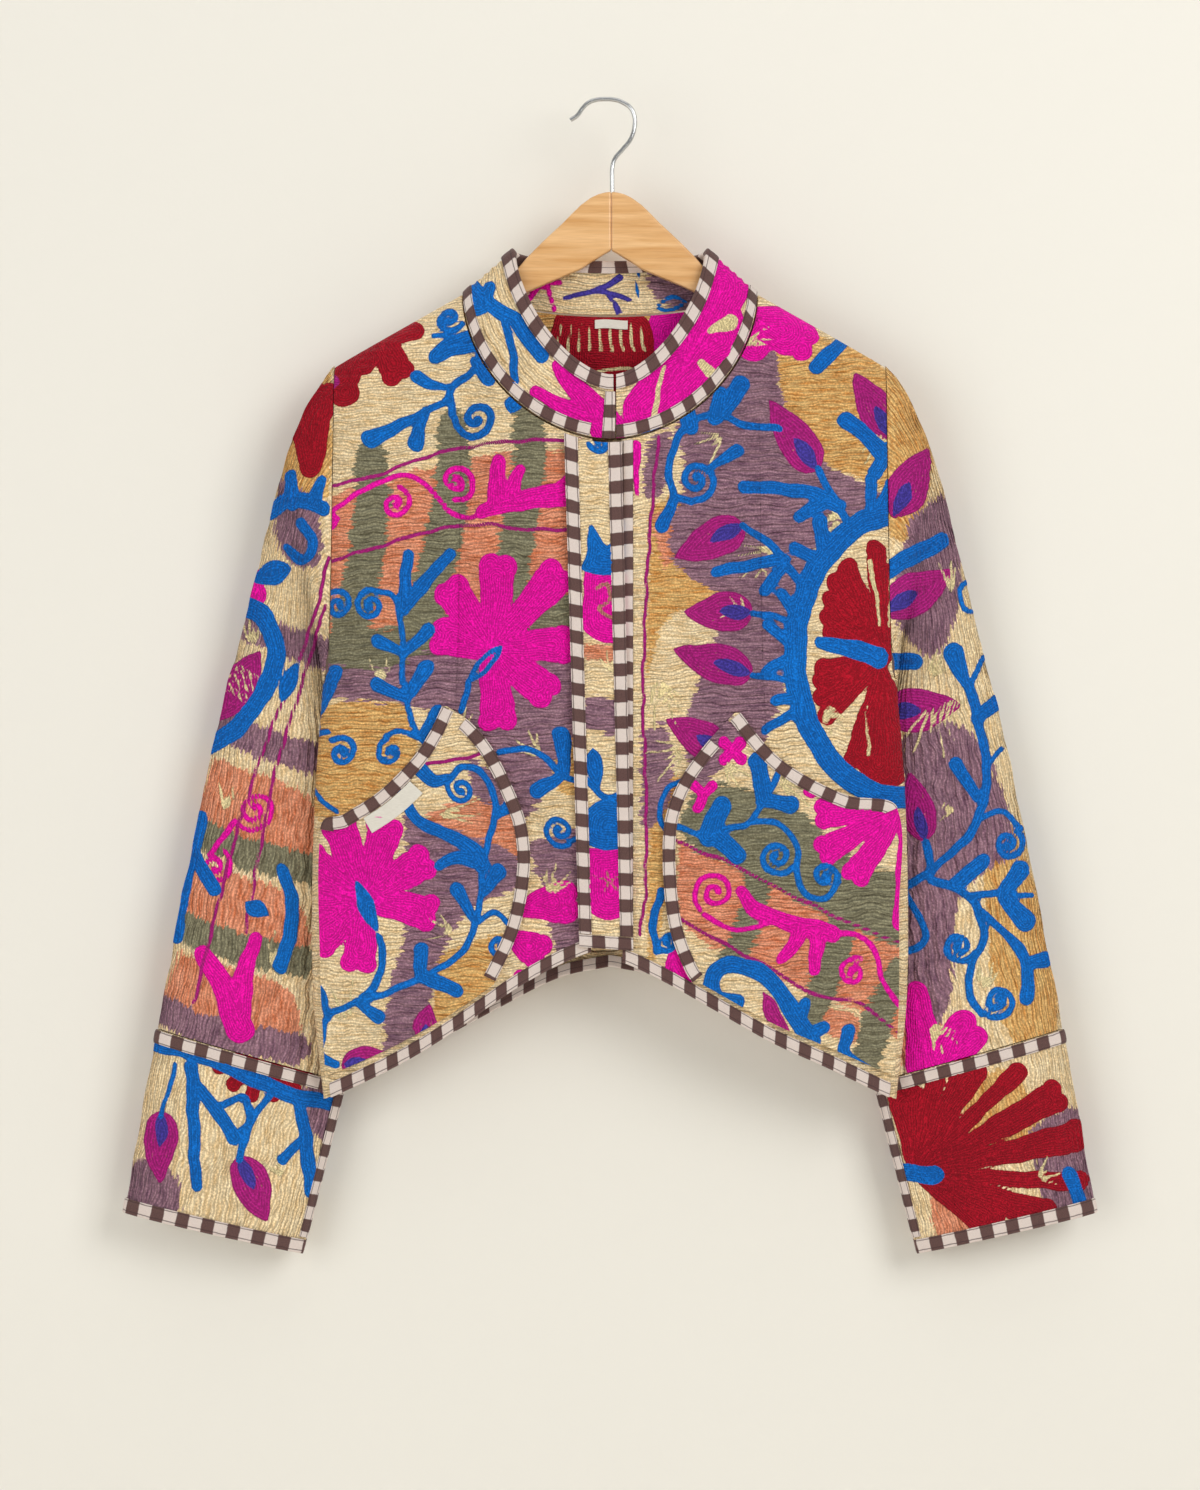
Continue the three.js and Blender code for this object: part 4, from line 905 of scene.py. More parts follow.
FRONT_RIGHT_AT = front_at(-1, RIGHT_HEM, FRONT_EDGE["right"])
FRONT_LEFT_AT = front_at(1, LEFT_HEM, FRONT_EDGE["left"])
RIGHT_FRONT_DESIGN = [
    # grounds: salmon and olive bars above, mauve below, ochre down the side and by the placket
    ("salmon", patch([(-28.2, 40), (-22, 38.6), (-17, 37), (-8.5, 35.6), (-2.6, 37), (-2.6, 51), (-15, 53),
                      (-28.4, 54)])),
    *strokes("olive", (25, 30, (-23.5, 36.3), (-23.4, 41), (-24.3, 48), (-26.2, 56)),
         (24, 32, (-15.2, 33), (-15.3, 39), (-16.6, 46), (-18.8, 55)),
         (24, 28, (-7.6, 31), (-7.7, 38), (-9.2, 47), (-10, 54))),
    ("olive", patch([(-28.4, 54), (-20, 53), (-10, 51), (-2.5, 50), (-2.4, 56.5), (-15, 59), (-28.4, 59)])),
    ("mauve", patch([(-28.4, 56.8), (-22, 57.4), (-14, 54.2), (-2.5, 55), (-2.3, 62), (-5, 67), (-8, 72.5),
                     (-11, 71),
                     (-14, 64), (-19.5, 61), (-28.4, 60)])),
    ("ochre", patch([(-29, 61.2), (-24, 60.4), (-19.6, 61.5), (-19.2, 67), (-23, 70.4), (-29.6, 72)])),
    ("ochre", patch([(-5.4, 62), (-2, 60), (-1.6, 69), (-5, 69)])),
    ("mauve", patch([(-7.5, 75), (-2, 74), (-1.8, 86), (-4.5, 86.5), (-6, 80)])),
    # crimson petals that hang over the shoulder
    *flower("crimson", -25.6, 23.8, [(-107, 58, 2), (-66, 34, 1)], 36, 40),
    *flower("crimson", -22.6, 24.2, [(-62, 40, 2), (14, 36, 1)], 20, 26),
    ("crimson", vine([(-28.4, 25.4), (-29.6, 31), (-30, 36)], 30, 20)),
    ("plum", leaf(-27.4, 29.2, 90, 13, 13, 0.5)),
    # blue branch from under the collar
    *strokes("blue",
         (6, 6, (-12.6, 25.6), (-13.4, 27.6), (-15.2, 29), (-16, 30.6), (-17.6, 31.2), (-20, 32.8)),
         (6, 14, (-18, 31.6), (-20.6, 33), (-23.6, 34.3)),
         (7, 13, (-18, 31.4), (-18.6, 33.4), (-19, 34.8)),
         (5, 11, (-15.8, 29.2), (-17.4, 28.8), (-18.8, 28)),
         (18, 13, (-13.4, 24.4), (-15.4, 25), (-17, 25.9)), (5, 4, (-14, 24.2), (-17.2, 23.8)),
         (7, 11, (-13.2, 26.4), (-11.6, 28.4))),
    ("blue", spiral(-15.6, 22.2, 11, -20, 1.25, -1, 5)),
    ("blue", vine([(-15.6, 30), (-15.3, 32)], 6, 6)),
    ("blue", spiral(-12.9, 32.2, 17, 180, 1.35, 1, 6)),
    ("blue", leaf(-9, 29.8, -105, 15, 15, 0.5)),
    # two fine lines with a vine of magenta between them
    *strokes("plum", (3, 3, (-28, 39), (-23, 38), (-17, 35.8), (-10, 34.6), (-2.5, 34.4)),
         (3, 3, (-28, 46.6), (-23, 45.2), (-17.5, 43.6), (-12.5, 42.9), (-8, 43.4), (-2.5, 43.4))),
    ("magenta", vine([(-28.4, 42.4), (-26.8, 41), (-22.8, 38.7), (-20, 38), (-18.3, 38.6), (-16.8, 40.2),
                      (-15.7, 41.6), (-13.9, 42.2), (-12, 41.6)], 4.2, 4.2)),
    ("magenta", leaf(-28.8, 42.6, 10, 18, 15, 0.5)),
    ("magenta", spiral(-21.1, 40.8, 13, 72, 1.3, -1, 4.4)),
    ("magenta", spiral(-14.8, 38.6, 15, -100, 1.5, 1, 4.6)),
    *strokes("magenta", (12, 22, (-12.2, 41.6), (-9, 40.6), (-5, 40), (-2.8, 39.4)),
         (15, 11, (-11, 40.8), (-10.7, 38), (-10.7, 36.6)), (13, 9, (-9.6, 40), (-8.5, 37.4)),
         (9, 7, (-4.4, 39), (-2.9, 37.6))),
    # two small tendrils and a forked leaf, on a stem that runs down into the pocket
    ("blue", spiral(-26.9, 50.9, 12.5, 150, 1.4, -1, 4.6)),
    ("blue", vine([(-28.2, 50.6), (-27.8, 49.4)], 4.6, 4.6)),
    ("blue", spiral(-23.5, 51, 13, 60, 1.5, 1, 4.6)),
    *strokes("blue",
         (4.6, 5, (-22.7, 49.5), (-21.4, 50), (-20.6, 51.8), (-20.2, 55), (-20.2, 58.8), (-19.2, 62.8),
          (-17.9, 65)), (10, 9, (-20.2, 51.6), (-19.9, 48), (-19.7, 46)),
         (11, 10, (-20, 51), (-17.6, 48.2), (-15.6, 46)), (6, 11, (-20.2, 55.9), (-22.8, 54.5)),
         (6, 11, (-20.1, 55.9), (-17.6, 53.4)), (7, 12, (-20, 60.4), (-22.8, 58.9)),
         (7, 13, (-19.9, 60.4), (-17.8, 57.2)), (6, 10, (-18.4, 64.3), (-16.8, 61.6)),
         (5, 4, (-18.2, 64.4), (-20.4, 63.7), (-22, 64))),
    ("blue", spiral(-21.5, 65.7, 11.5, 100, 1.2, 1, 4.4)),
    *strokes("blue", (4, 4, (-28, 53.4), (-28.5, 58), (-28.9, 63.6)), (7, 12, (-28.6, 61.5), (-27, 57.6)),
         (4.4, 4.4, (-29, 64), (-27.8, 63.6))),
    ("blue", spiral(-26.5, 65.7, 12.5, 130, 1.35, -1, 4.8)),
    ("blue", vine([(-29.8, 69), (-28.6, 70.6), (-26.8, 71.6)], 4, 4)),
    # the large magenta flower
    *flower("magenta", -11.4, 55.4, [(124, 66, 2), (85, 76, 2), (48, 88, 2), (4, 68, 2), (-38, 64, 2), (-84,
        66, 2),
                                     (166, 50, 2)], 18, 30),
    ("blue", line_round(leaf(-13.7, 58.8, 48, 40, 13, 0.5), 3.4)),
    ("blue", vine([(-13.6, 58.6), (-14.4, 61.6)], 5, 5)),
    # beside the pocket
    *strokes("blue", (5, 5, (-10.6, 65.8), (-8.4, 65.3), (-6, 66.3), (-4, 68.1), (-1.8, 68.8)),
         (8, 15, (-3.9, 67.8), (-4.4, 64)), (7, 13, (-4.2, 68), (-6.8, 69.6))),
    ("blue", spiral(-4.5, 73.5, 13, -60, 1.45, -1, 4.4)),
    ("blue", vine([(-3.6, 74.6), (-2, 74)], 4.4, 5)),
    *flower("magenta", -9.6, 76.5, [(80, 18, 1), (-90, 18, 1)], 18, 22),
    *flower("magenta", -8, 81.2, [(8, 44, 2)], 16, 34),
    *flower("magenta", -9.6, 84, [(-30, 36, 2)], 12, 27),
    ("magenta", leaf(-9.2, 88.4, 20, 14, 12, 0.5)),
    ("blue", leaf(-6.4, 89.6, 30, 12, 9, 0.5)),
    *scribble(-22.5, 58.8, 80, 22, 4, 60), *scribble(-14.2, 64, 100, 26, 5, 80),
    *scribble(-6.6, 66.4, 120, 26, 5, 60),
    *scribble(-5.8, 80, 60, 28, 6, 70),
]
LEFT_RING = (30.0, 56.0, 86.0, 112.0)  # centre across and down in steps, then its radii in mm
LEFT_RING_INSIDE = stroke(np.array([spot(29.6, 51), spot(29.6, 61.5)]), np.array([80.0, 80.0]))
LEFT_FRONT_DESIGN = [
    # grounds: mauve over most of the panel but not inside the ring, with ochre above and down the placket
    ("mauve", cut_from(patch([(7, 33), (10, 28), (15, 22), (17, 25), (19, 34), (26, 39), (29.5, 40),
                              (28, 44), (22, 47.6),
                              (19, 53), (17, 62), (13, 68), (8, 66), (9.5, 58), (12, 51), (6.5, 46),
                              (8, 38)]),
                       LEFT_RING_INSIDE)),
    ("mauve", patch([(4.2, 34.6), (6.6, 33.6), (6, 39), (4, 40)])),
    ("mauve", patch([(3.6, 64), (6, 63), (6.6, 70), (4, 73)])),
    ("ochre", patch([(16.6, 24), (19, 23.4), (27, 26), (31, 32), (29, 38.6), (25, 38), (19, 34.4)])),
    ("ochre", patch([(4.6, 41), (8, 40), (11.4, 44.6), (11.6, 50), (6, 52.6), (4.2, 58), (4.4, 46)])),
    ("ochre", patch([(4.4, 68), (8, 69), (6.4, 79), (4.4, 87)])),
    ("salmon", patch([(4.8, 42), (7, 41.4), (8.6, 44), (6, 47)])),
    *scribble(22, 41, -60, 46, 6, 60), *scribble(17.6, 45.6, 200, 40, 6, 70),
    *scribble(5.2, 58, -80, 46, 6, 60),
    *scribble(8, 65.5, 200, 34, 5, 90), *scribble(14, 52, 140, 20, 4, 80),
    *scribble(13.4, 24.6, 5, 30, 4, 30),
    *scribble(28, 33.4, 250, 34, 5, 60), *scribble(12, 34, 200, 26, 4, 70),
    *scribble(22, 60.6, 290, 36, 5, 50),
    # magenta petals at the shoulder, with a blue leaf beyond
    *flower("magenta", 14.6, 22.4, [(-14, 56, 3), (-52, 32, 2)], 24, 44),
    ("blue", vine([(21.3, 27), (22.6, 25.6), (24.3, 24)], 13, 10)),
    # a stem with a tendril, up to the large bud
    *strokes("blue",
         (6, 6, (5.8, 43), (6.8, 40.4), (6.4, 37.3), (7.1, 34.7), (8.7, 32.6), (11, 31.8), (14.2, 32.9),
          (17.6, 33.3)), (8, 12, (6.8, 40.6), (5.8, 43)), (14, 12, (8.6, 33), (8, 31)),
         (15, 12, (11.2, 32), (11.6, 29.8)), (11, 14, (11.8, 31.8), (13.7, 28.7))),
    ("blue", spiral(9.2, 38.4, 16, -100, 1.5, 1, 5.4)),
    *strokes("blue", (6, 6, (6.9, 40.3), (8.6, 40.6)), (6, 11, (10.6, 37.2), (13.2, 35.5))),
    *bud(21.3, 37.6, 124, 68, 31), *bud(29, 34, 122, 58, 32), *bud(14, 42.9, 206, 62, 31),
    *bud(14.8, 51.7, 180, 54, 32), *bud(14.8, 57.9, 163, 66, 31), *bud(11.8, 65.5, 152, 50, 30),
    *strokes("blue", (6, 7, (21.4, 37.4), (23, 40.4), (24.6, 43)),
         (6, 7, (13.9, 43), (16.3, 44.8), (18.3, 47), (20, 49.2)),
         (5, 6, (14.8, 51.8), (17.8, 52.4), (19.4, 53.4)), (5, 6, (14.8, 58), (17.8, 58.4), (19.4, 58)),
         (15, 12, (28, 35.8), (26, 33.8), (24.1, 32.3)), (12, 12, (28.4, 35.2), (27.2, 37.6)),
         (12, 10, (23.4, 41), (20, 39.6), (13.9, 39.1)), (12, 11, (22.4, 40.4), (19.6, 42)),
         (10, 9, (18, 46.4), (14.4, 47), (11.2, 47.7)), (9, 10, (18, 47), (16, 49.6)),
         (12, 12, (22, 46.6), (21.6, 42.6)), (10, 10, (21.6, 46.8), (18.9, 45.2)),
         (9, 9, (19.6, 52.6), (17.6, 49.8)), (9, 9, (19.2, 55.4), (16.3, 53)),
         (9, 9, (19.2, 55.6), (16.2, 57.7)), (8, 7, (20, 61), (16, 63.6)),
         (9, 9, (19.4, 60), (17, 60.6)), (9, 10, (26.6, 41.2), (26.8, 38.4)),
         (9, 9, (27.6, 41), (29, 38.4))),
    ("blue", bow(*LEFT_RING, 78, 282, 18)),
    # two crimson fans inside the ring, under a blue bar
    *flower("crimson", 28.2, 55.6, [(96, 88, 1), (88, 70, 1)], 16, 27),
    *flower("crimson", 27.8, 55.8, [(112, 80, 1), (123, 74, 1), (134, 66, 1), (146, 58, 1), (158, 50, 1)],
            20, 26),
    *flower("crimson", 26.8, 56.8, [(186, 46, 1), (200, 50, 1), (214, 56, 1), (229, 62, 1)], 20, 25),
    *flower("crimson", 27.8, 57.4, [(256, 84, 2), (268, 92, 2), (281, 94, 2), (292, 90, 1)], 12, 27),
    *strokes("cream", (4, 2, (26.6, 46.6), (27.2, 50), (27.6, 53)), (3, 1.5, (28.8, 48), (28.5, 53)),
         (3, 1.5, (26.4, 66), (26.2, 61))),
    ("blue", vine([(21.5, 54.8), (24, 55.2), (27.4, 56.2)], 10, 17)),
    # a fine line down beside the placket
    ("plum", vine([(5.4, 34), (4.9, 39), (4.2, 48), (3.8, 60), (4.1, 70), (4, 80), (3.4, 84)], 2.8, 2.8)),
    ("magenta", vine([(3.1, 35), (3.2, 40)], 8, 3)),
    *strokes("blue", (4.4, 4.4, (7.8, 68.6), (6, 69.6), (5.5, 72), (6.6, 74.4)),
         (7, 6, (5.6, 79.6), (4.8, 83), (5.2, 85.6))),
    ("blue", spiral(6.2, 84.6, 9, 200, 1.1, 1, 4.6)),
    ("magenta", patch([(6.4, 85.4), (7.4, 86), (9.8, 91.5), (9, 92), (6, 89)])),
    ("blue", vine([(24, 76), (24.4, 79)], 8, 8)),
]
quilted_piece("front_panel_right", FRONT_RIGHT_AT, 120, 216, RIGHT_FRONT_DESIGN, "front_right",
              cut=(0.23, 0.634),
              marks=level_rows,
              row_places=crowded_top, seed=5)
quilted_piece("front_panel_left", FRONT_LEFT_AT, 120, 216, LEFT_FRONT_DESIGN, "front_left",
              cut=(0.235, 0.634),
              flip=True, marks=level_rows,
              row_places=crowded_top, seed=7)

# The sleeves. Each is one panel sewn into a tube and into the armhole, and it hangs down behind the body's
# side. Its rows of stitches run along its length.
ARMHOLE_GAP = 0.6
SLEEVE_V = [0.06, 0.14, 0.24, 0.38, 0.52, 0.66, 0.80, 0.92, 1.0]
SLEEVE_RINGS = {
    "out_x": [238, 252, 267, 286, 305, 322, 337, 349, 358],
    "out_z": [-233, -272, -322, -398, -470, -545, -622, -685, -731],
    "in_x": [226, 227, 218, 200, 193, 192, 196, 203, 206],
    "in_z": [-447, -452, -490, -560, -612, -662, -710, -748, -775],
    "out_y": [1, 4, 10, 16, 19, 18, 17, 16, 16],
    "in_y": [6, 16, 27, 33, 34, 33, 31, 29, 28],
    "half": [13, 16, 17, 17, 17, 17, 16, 15, 16],
}
SLEEVE_FOLDS = [(0.9, 0.28, 2.6, 0.5), (1.9, 0.3, 2.0, -0.4), (4.2, 0.35, 3.0, 0.3)]


def ring_place(ring, angle, hand):
    """A place on a flattened ring, by the angle from its outer edge round its front to its inner edge."""
    inward = (1 - np.cos(angle)) / 2
    return np.stack([
        CENTRE_X + hand * between(ring["out_x"], ring["in_x"], inward),
        between(ring["out_y"], ring["in_y"], inward) - ring["half"] * np.sin(angle),
        between(ring["out_z"], ring["in_z"], inward),
    ], -1)


def armhole_place(angle, hand):
    inward = (1 - np.cos(angle)) / 2
    z = between(shoulder_z(ARMHOLE), UNDERARM_Z - UNDERARM_EASE, inward)
    turn = np.arcsin(side_share(z))
    front = body_point(turn, z, -1)[..., 1]
    back = body_point(turn, z, 1)[..., 1]
    y = np.where(np.sin(angle) < 0, back, front) * (np.abs(np.sin(angle)) > 1e-6)
    return np.stack([CENTRE_X + hand * (side_share(z - 20) * body_half(z) + ARMHOLE_GAP), y, z], -1)


def sleeve_plain(u, v, hand):
    angle = u * 2 * math.pi
    t = np.clip(v / 0.14, 0, 1)
    t = (t * t * (3 - 2 * t))[..., None]
    ring = {key: read_off(SLEEVE_V, values, v) for key, values in SLEEVE_RINGS.items()}
    place = between(armhole_place(angle, hand), ring_place(ring, angle, hand), t)
    along = np.sin(math.pi * np.clip((v - 0.1) / 0.9, 0, 1))
    for turn, wide, deep, lean in SLEEVE_FOLDS:
        off = (np.mod(angle, 2 * math.pi) - turn - lean * (v - 0.5)) / wide
        place[..., 1] -= np.sign(math.sin(turn)) * deep * along * np.exp(-off**2)
    return place


def raised_from(plain, outward):
    """Heights measured square to a plain surface."""
    def at(u, v, height):
        u, v, height = np.broadcast_arrays(*(np.asarray(a, float) for a in (u, v, height)))
        small = 1e-3
        du = plain(u + small, v) - plain(u - small, v)
        dv = plain(u, v + small) - plain(u, v - small)
        return plain(u, v) + unit(np.cross(du, dv)) * (outward * height)[..., None]
    return at


def sleeve_at(hand):
    above = raised_from(lambda u, v: sleeve_plain(u, v, hand), hand)

    def at(u, v, height):
        place = above(u, v, height)
        first = np.broadcast_to(v, place.shape[:2]) == 0
        angle = np.broadcast_to(u, place.shape[:2]) * 2 * math.pi
        place[..., 0] = np.where(first, armhole_place(angle, hand)[..., 0], place[..., 0])
        return place
    return at


def lengthwise_rows(round_mm, long_mm):
    """Marks for pieces whose rows of stitches run along their length."""
    return lambda u, v, places: (np.abs(u - 0.5) * round_mm, v * long_mm)


RIGHT_SLEEVE_DESIGN = [
    *[("salmon", patch([(-39.6 - k, 66.4 + d), (-30 - k * 0.6, 70.4 + d), (-30.6 - k * 0.6, 77 + d),
                        (-41 - k, 73 + d)]))
      for k, d in ((0, 0), (1.8, 10.4), (3.4, 19.6))],
    *[(colour, vine([(-38 - k, top), (-33 - k, top + 2.2), (-28 - k * 0.5, top + 4)], 23, 24))
      for colour, k, top in (("mauve", 0, 52), ("mauve", 1.6, 62.6), ("olive", 3.8, 73.6),
                             ("olive", 5.4, 83), ("mauve", 7, 91.8))],
    ("ochre", patch([(-33, 28), (-28, 26), (-28, 40), (-33, 38)])),
    ("mauve", patch([(-33, 38), (-29, 41), (-29, 47), (-33, 45)])),
    *scribble(-36, 55, 70, 30, 5, 60), *scribble(-33.6, 88, 70, 34, 5, 50),
    *scribble(-38.6, 72, 75, 26, 4, 40),
    # two fine lines down the whole sleeve
    *strokes("plum",
         (3, 3, (-27.8, 46), (-29, 51), (-31.2, 57), (-34, 64), (-36.4, 71), (-38.6, 79), (-41.6, 91)),
         (3, 3, (-28.2, 51), (-30.4, 58), (-33.2, 67), (-35, 76), (-36.4, 84))),
    # petals under the shoulder
    *flower("crimson", -29.6, 37, [(101, 88, 2), (82, 70, 2)], 18, 26),
    *flower("magenta", -35, 50, [(150, 26, 2), (98, 22, 1), (205, 26, 2)], 13, 17),
    # a thorny branch and the hook below it
    *strokes("blue", (12, 12, (-34, 41.6), (-31.6, 40.2), (-28.4, 41.2)),
         (12, 10, (-31.6, 40.6), (-31.6, 37.8)), (11, 8, (-29.6, 40.6), (-28.4, 38.4)),
         (9, 7, (-30.6, 42.6), (-29.4, 44.6), (-30.4, 46.4), (-32.2, 45))),
    ("blue", leaf(-35.6, 48.4, 20, 34, 20, 0.5)),
    ("blue", vine([(-37.6, 50.4), (-34.4, 52.2), (-33.4, 57), (-36.8, 62.8), (-40.6, 65.4)], 16, 14)),
    ("plum", leaf(-39.3, 62.7, 59, 66, 31, 0.5)),
    *[("cream", bow(-39.3 + t * 4.3 + k, 62.7 - t * 7.2 + k * 0.6, 2.8, 2.8, 0, 360, 1.2))
      for t in (0.42, 0.56, 0.7) for k in (-0.7, 0.1, 0.9)],
    ("blue", leaf(-33, 60.8, 65, 38, 13, 0.5)),
    # tendrils and a leaf above the cuff
    ("magenta", spiral(-35.4, 71.6, 17, 210, 1.7, 1, 4)),
    ("magenta", vine([(-37.4, 72.8), (-40, 76)], 5, 5)),
    ("magenta", spiral(-39.4, 77.4, 14, 60, 1.5, -1, 4)),
    *strokes("magenta", (13, 24, (-40.8, 86), (-38.6, 89.4), (-37, 93.6)),
         (11, 20, (-35.4, 84.6), (-36.6, 88.6), (-37, 92))),
    *strokes("blue", (13, 10, (-41, 72.4), (-42.4, 78), (-43.4, 84.6)),
         (10, 12, (-41.6, 76), (-39.6, 79.6)), (10, 12, (-32.6, 77.6), (-31.6, 82), (-32.8, 87.4))),
    ("blue", leaf(-33.8, 82.4, 150, 24, 14, 0.6)),
]
LEFT_SLEEVE_DESIGN = [
    ("ochre", patch([(27, 26), (31, 28), (33, 36), (31, 44), (28, 42)])),
    ("mauve", patch([(31, 42), (34.6, 40), (36, 50), (33, 56), (29, 51)])),
    ("mauve", patch([(30, 64), (36, 63), (40, 69), (41, 76), (36, 80), (34.6, 92), (30.4, 92)])),
    ("ochre", patch([(38.6, 75), (42, 74), (46, 93), (41, 94.6), (38.6, 84)])),
    ("salmon", patch([(30, 92), (34, 93), (33, 97), (30, 97)])),
    *scribble(33.4, 60.6, -70, 48, 9, 130), *scribble(32.4, 58, 30, 34, 5, 60),
    *scribble(33, 93, -60, 30, 5, 60),
    *scribble(35.6, 71.6, 180, 16, 4, 60), *scribble(38.4, 90, 80, 26, 5, 60),
    *scribble(35, 50, 90, 30, 4, 30),
    # buds that turn out from the ring on the front, and bars between them
    *bud(29, 42, 63, 62, 33), *bud(28, 51.6, 30, 66, 34), *bud(28.4, 61.8, 6, 60, 36),
    *bud(32.4, 74.7, 102, 56, 28),
    *strokes("blue", (15, 13, (28.4, 47.4), (31.6, 45.6), (34, 44.4)),
             (14, 13, (28.4, 56.6), (31.4, 56.6))),
    ("blue", bow(37, 49.9, 9, 12, 60, 300, 4)),
    # the vine that runs down the sleeve, with its leaves and tendrils
    *strokes("blue", (17, 9, (35.2, 55.8), (36.6, 58.8)), (5, 5, (38.4, 56.2), (37.2, 58.6)),
         (9, 6, (36.7, 58.8), (37.8, 62), (38.1, 64), (38.7, 68), (37.6, 72.8), (35.5, 75.5),
          (33.3, 77.5), (30.6, 79.3)), (13, 11, (39.6, 60.8), (37.8, 62.2)),
         (4, 4, (40.2, 65.4), (39, 66.8)), (12, 9, (35.6, 67), (37.6, 70.2)),
         (7, 6, (32.4, 74.8), (33.2, 77.4)), (5, 5, (37.8, 72.4), (40.4, 71.8), (42.2, 73.4))),
    ("blue", spiral(40.8, 75, 13, 60, 1.5, -1, 5)),
    *strokes("blue",
         (7, 6, (33, 78.6), (36.7, 80.2), (37.9, 82), (38.3, 84.6), (37.2, 87), (36.8, 90), (38.2, 92.2)),
         (13, 11, (38.2, 76.8), (35.4, 79.2)), (6, 6, (36.8, 80.2), (40.2, 80)),
         (15, 11, (42.2, 77.6), (40.4, 79.8)), (12, 17, (40.4, 80.4), (42.6, 82.8)),
         (5, 4, (40.4, 80), (43.2, 80.3)), (6, 12, (38, 81.8), (42.4, 86.3), (42.7, 90.6)),
         (13, 10, (44.6, 86.8), (42.8, 87.2))), ("blue", spiral(35.8, 85.4, 13, -20, 1.5, -1, 5)),
    ("blue", spiral(39.8, 91, 14, 220, 1.6, 1, 5)),
    ("blue", vine([(30.4, 80.2), (32.2, 83), (32.2, 85), (30.6, 86)], 6, 6)),
    # lobes over the cuff
    *strokes("magenta", (17, 32, (31.6, 90), (32, 93), (32.6, 97.6)),
         (20, 28, (36.4, 93), (35, 95), (34, 98)), (20, 20, (37.4, 94.6), (35, 97))),
]
SLEEVE_DESIGNS = {"right": RIGHT_SLEEVE_DESIGN, "left": LEFT_SLEEVE_DESIGN}
for side, hand in (("right", -1), ("left", 1)):
    quilted_piece(f"sleeve_tube_{side}", sleeve_at(hand), 156, 220, SLEEVE_DESIGNS[side], f"sleeve_{side}",
                  cut=(0.36, 0.56),
                  ring=True, flip=hand > 0, marks=lengthwise_rows(360, 545), seed=11 + hand)

# The cuffs. Deep bands sewn to the sleeves' ends, slit along their inner edge from seam to hem, with their
# rows of stitches along the arm.
SLIT_ANGLE = 0.34
CUFF_LONG = 140.0
CUFF_GAP = 0.8
CUFF_AROUND = 318.0
SLEEVE_END = {key: float(values[-1]) for key, values in SLEEVE_RINGS.items()}
CUFF_HEM = {"out_x": 384.5, "out_z": -876.0, "in_x": 240.0, "in_z": -910.0, "out_y": 18.0, "in_y": 26.0,
            "half": 13.0}


def cuff_plain(u, v, hand):
    turn = between(-(math.pi - SLIT_ANGLE), math.pi - SLIT_ANGLE, u)
    t = CUFF_GAP / CUFF_LONG + v * (1 - CUFF_GAP / CUFF_LONG)
    return between(ring_place(SLEEVE_END, turn, hand), ring_place(CUFF_HEM, turn, hand),
                   np.asarray(t)[..., None])


def cuff_at(hand):
    return raised_from(lambda u, v: cuff_plain(u, v, hand), hand)


RIGHT_CUFF_DESIGN = [
    ("mauve", patch([(-49, 108), (-45, 107), (-43, 112), (-49, 113)])),
    ("mauve", patch([(-31, 100), (-28, 99), (-28, 105), (-30, 104)])),
    *flower("crimson", -34.4, 95.6, [(turn, 45, 1) for turn in range(-156, -20, 25)], 14, 19),
    *strokes("blue", (13, 12, (-45.8, 95.2), (-40.5, 96.5), (-36, 98.6), (-32, 100.4), (-28, 101.4)),
             (11, 9, (-41.8, 97.5), (-41.6, 104), (-41.4, 109.6)),
             (9, 12, (-41.2, 99.6), (-39, 102.4), (-37.6, 104.8)),
             (6, 6, (-39, 101.8), (-36.6, 100.6), (-36, 103), (-37.6, 104.6)),
             (4, 4, (-43.4, 97.4), (-45, 102.6)),
             (6, 6, (-33.8, 100.4), (-36, 103.4), (-37, 107)),
             (9, 12, (-31, 101), (-30.4, 105), (-29.8, 110.4)),
             (6, 9, (-30.4, 104.4), (-32.6, 107))),
    *bud(-44.9, 102, -92, 58, 28), *bud(-37, 106.6, -68, 58, 30), *scribble(-33, 109, 100, 22, 4, 60),
]
LEFT_CUFF_DESIGN = [
    ("ochre", patch([(36, 100), (41, 98), (44, 104), (38, 106)])),
    ("mauve", patch([(43, 104), (48, 102), (50, 112), (45, 113)])),
    ("salmon", patch([(33, 106), (38, 108), (40, 115), (34, 116)])),
    *flower("crimson", 31.4, 108.4, [(97, 72, 2), (78, 84, 1), (62, 104, 2), (45, 122, 1), (29, 136, 2),
                                     (13, 140, 2), (-3, 138, 1),
                                     (-18, 118, 2), (-34, 82, 2)], 9, 27),
    *strokes("blue", (13, 15, (29.6, 108.4), (33.4, 108.6)), (12, 10, (47, 108.4), (48.4, 111.8))),
    *scribble(43.6, 109, 20, 22, 4, 70),
]
CUFF_DESIGNS = {"right": RIGHT_CUFF_DESIGN, "left": LEFT_CUFF_DESIGN}
for side, hand in (("right", -1), ("left", 1)):
    quilted_piece(f"cuff_band_{side}", cuff_at(hand), 132, 60, CUFF_DESIGNS[side], f"cuff_{side}",
                  cut=(0.33, 0.142),
                  flip=hand > 0,
                  marks=lengthwise_rows(318, 140), seed=21 + hand)

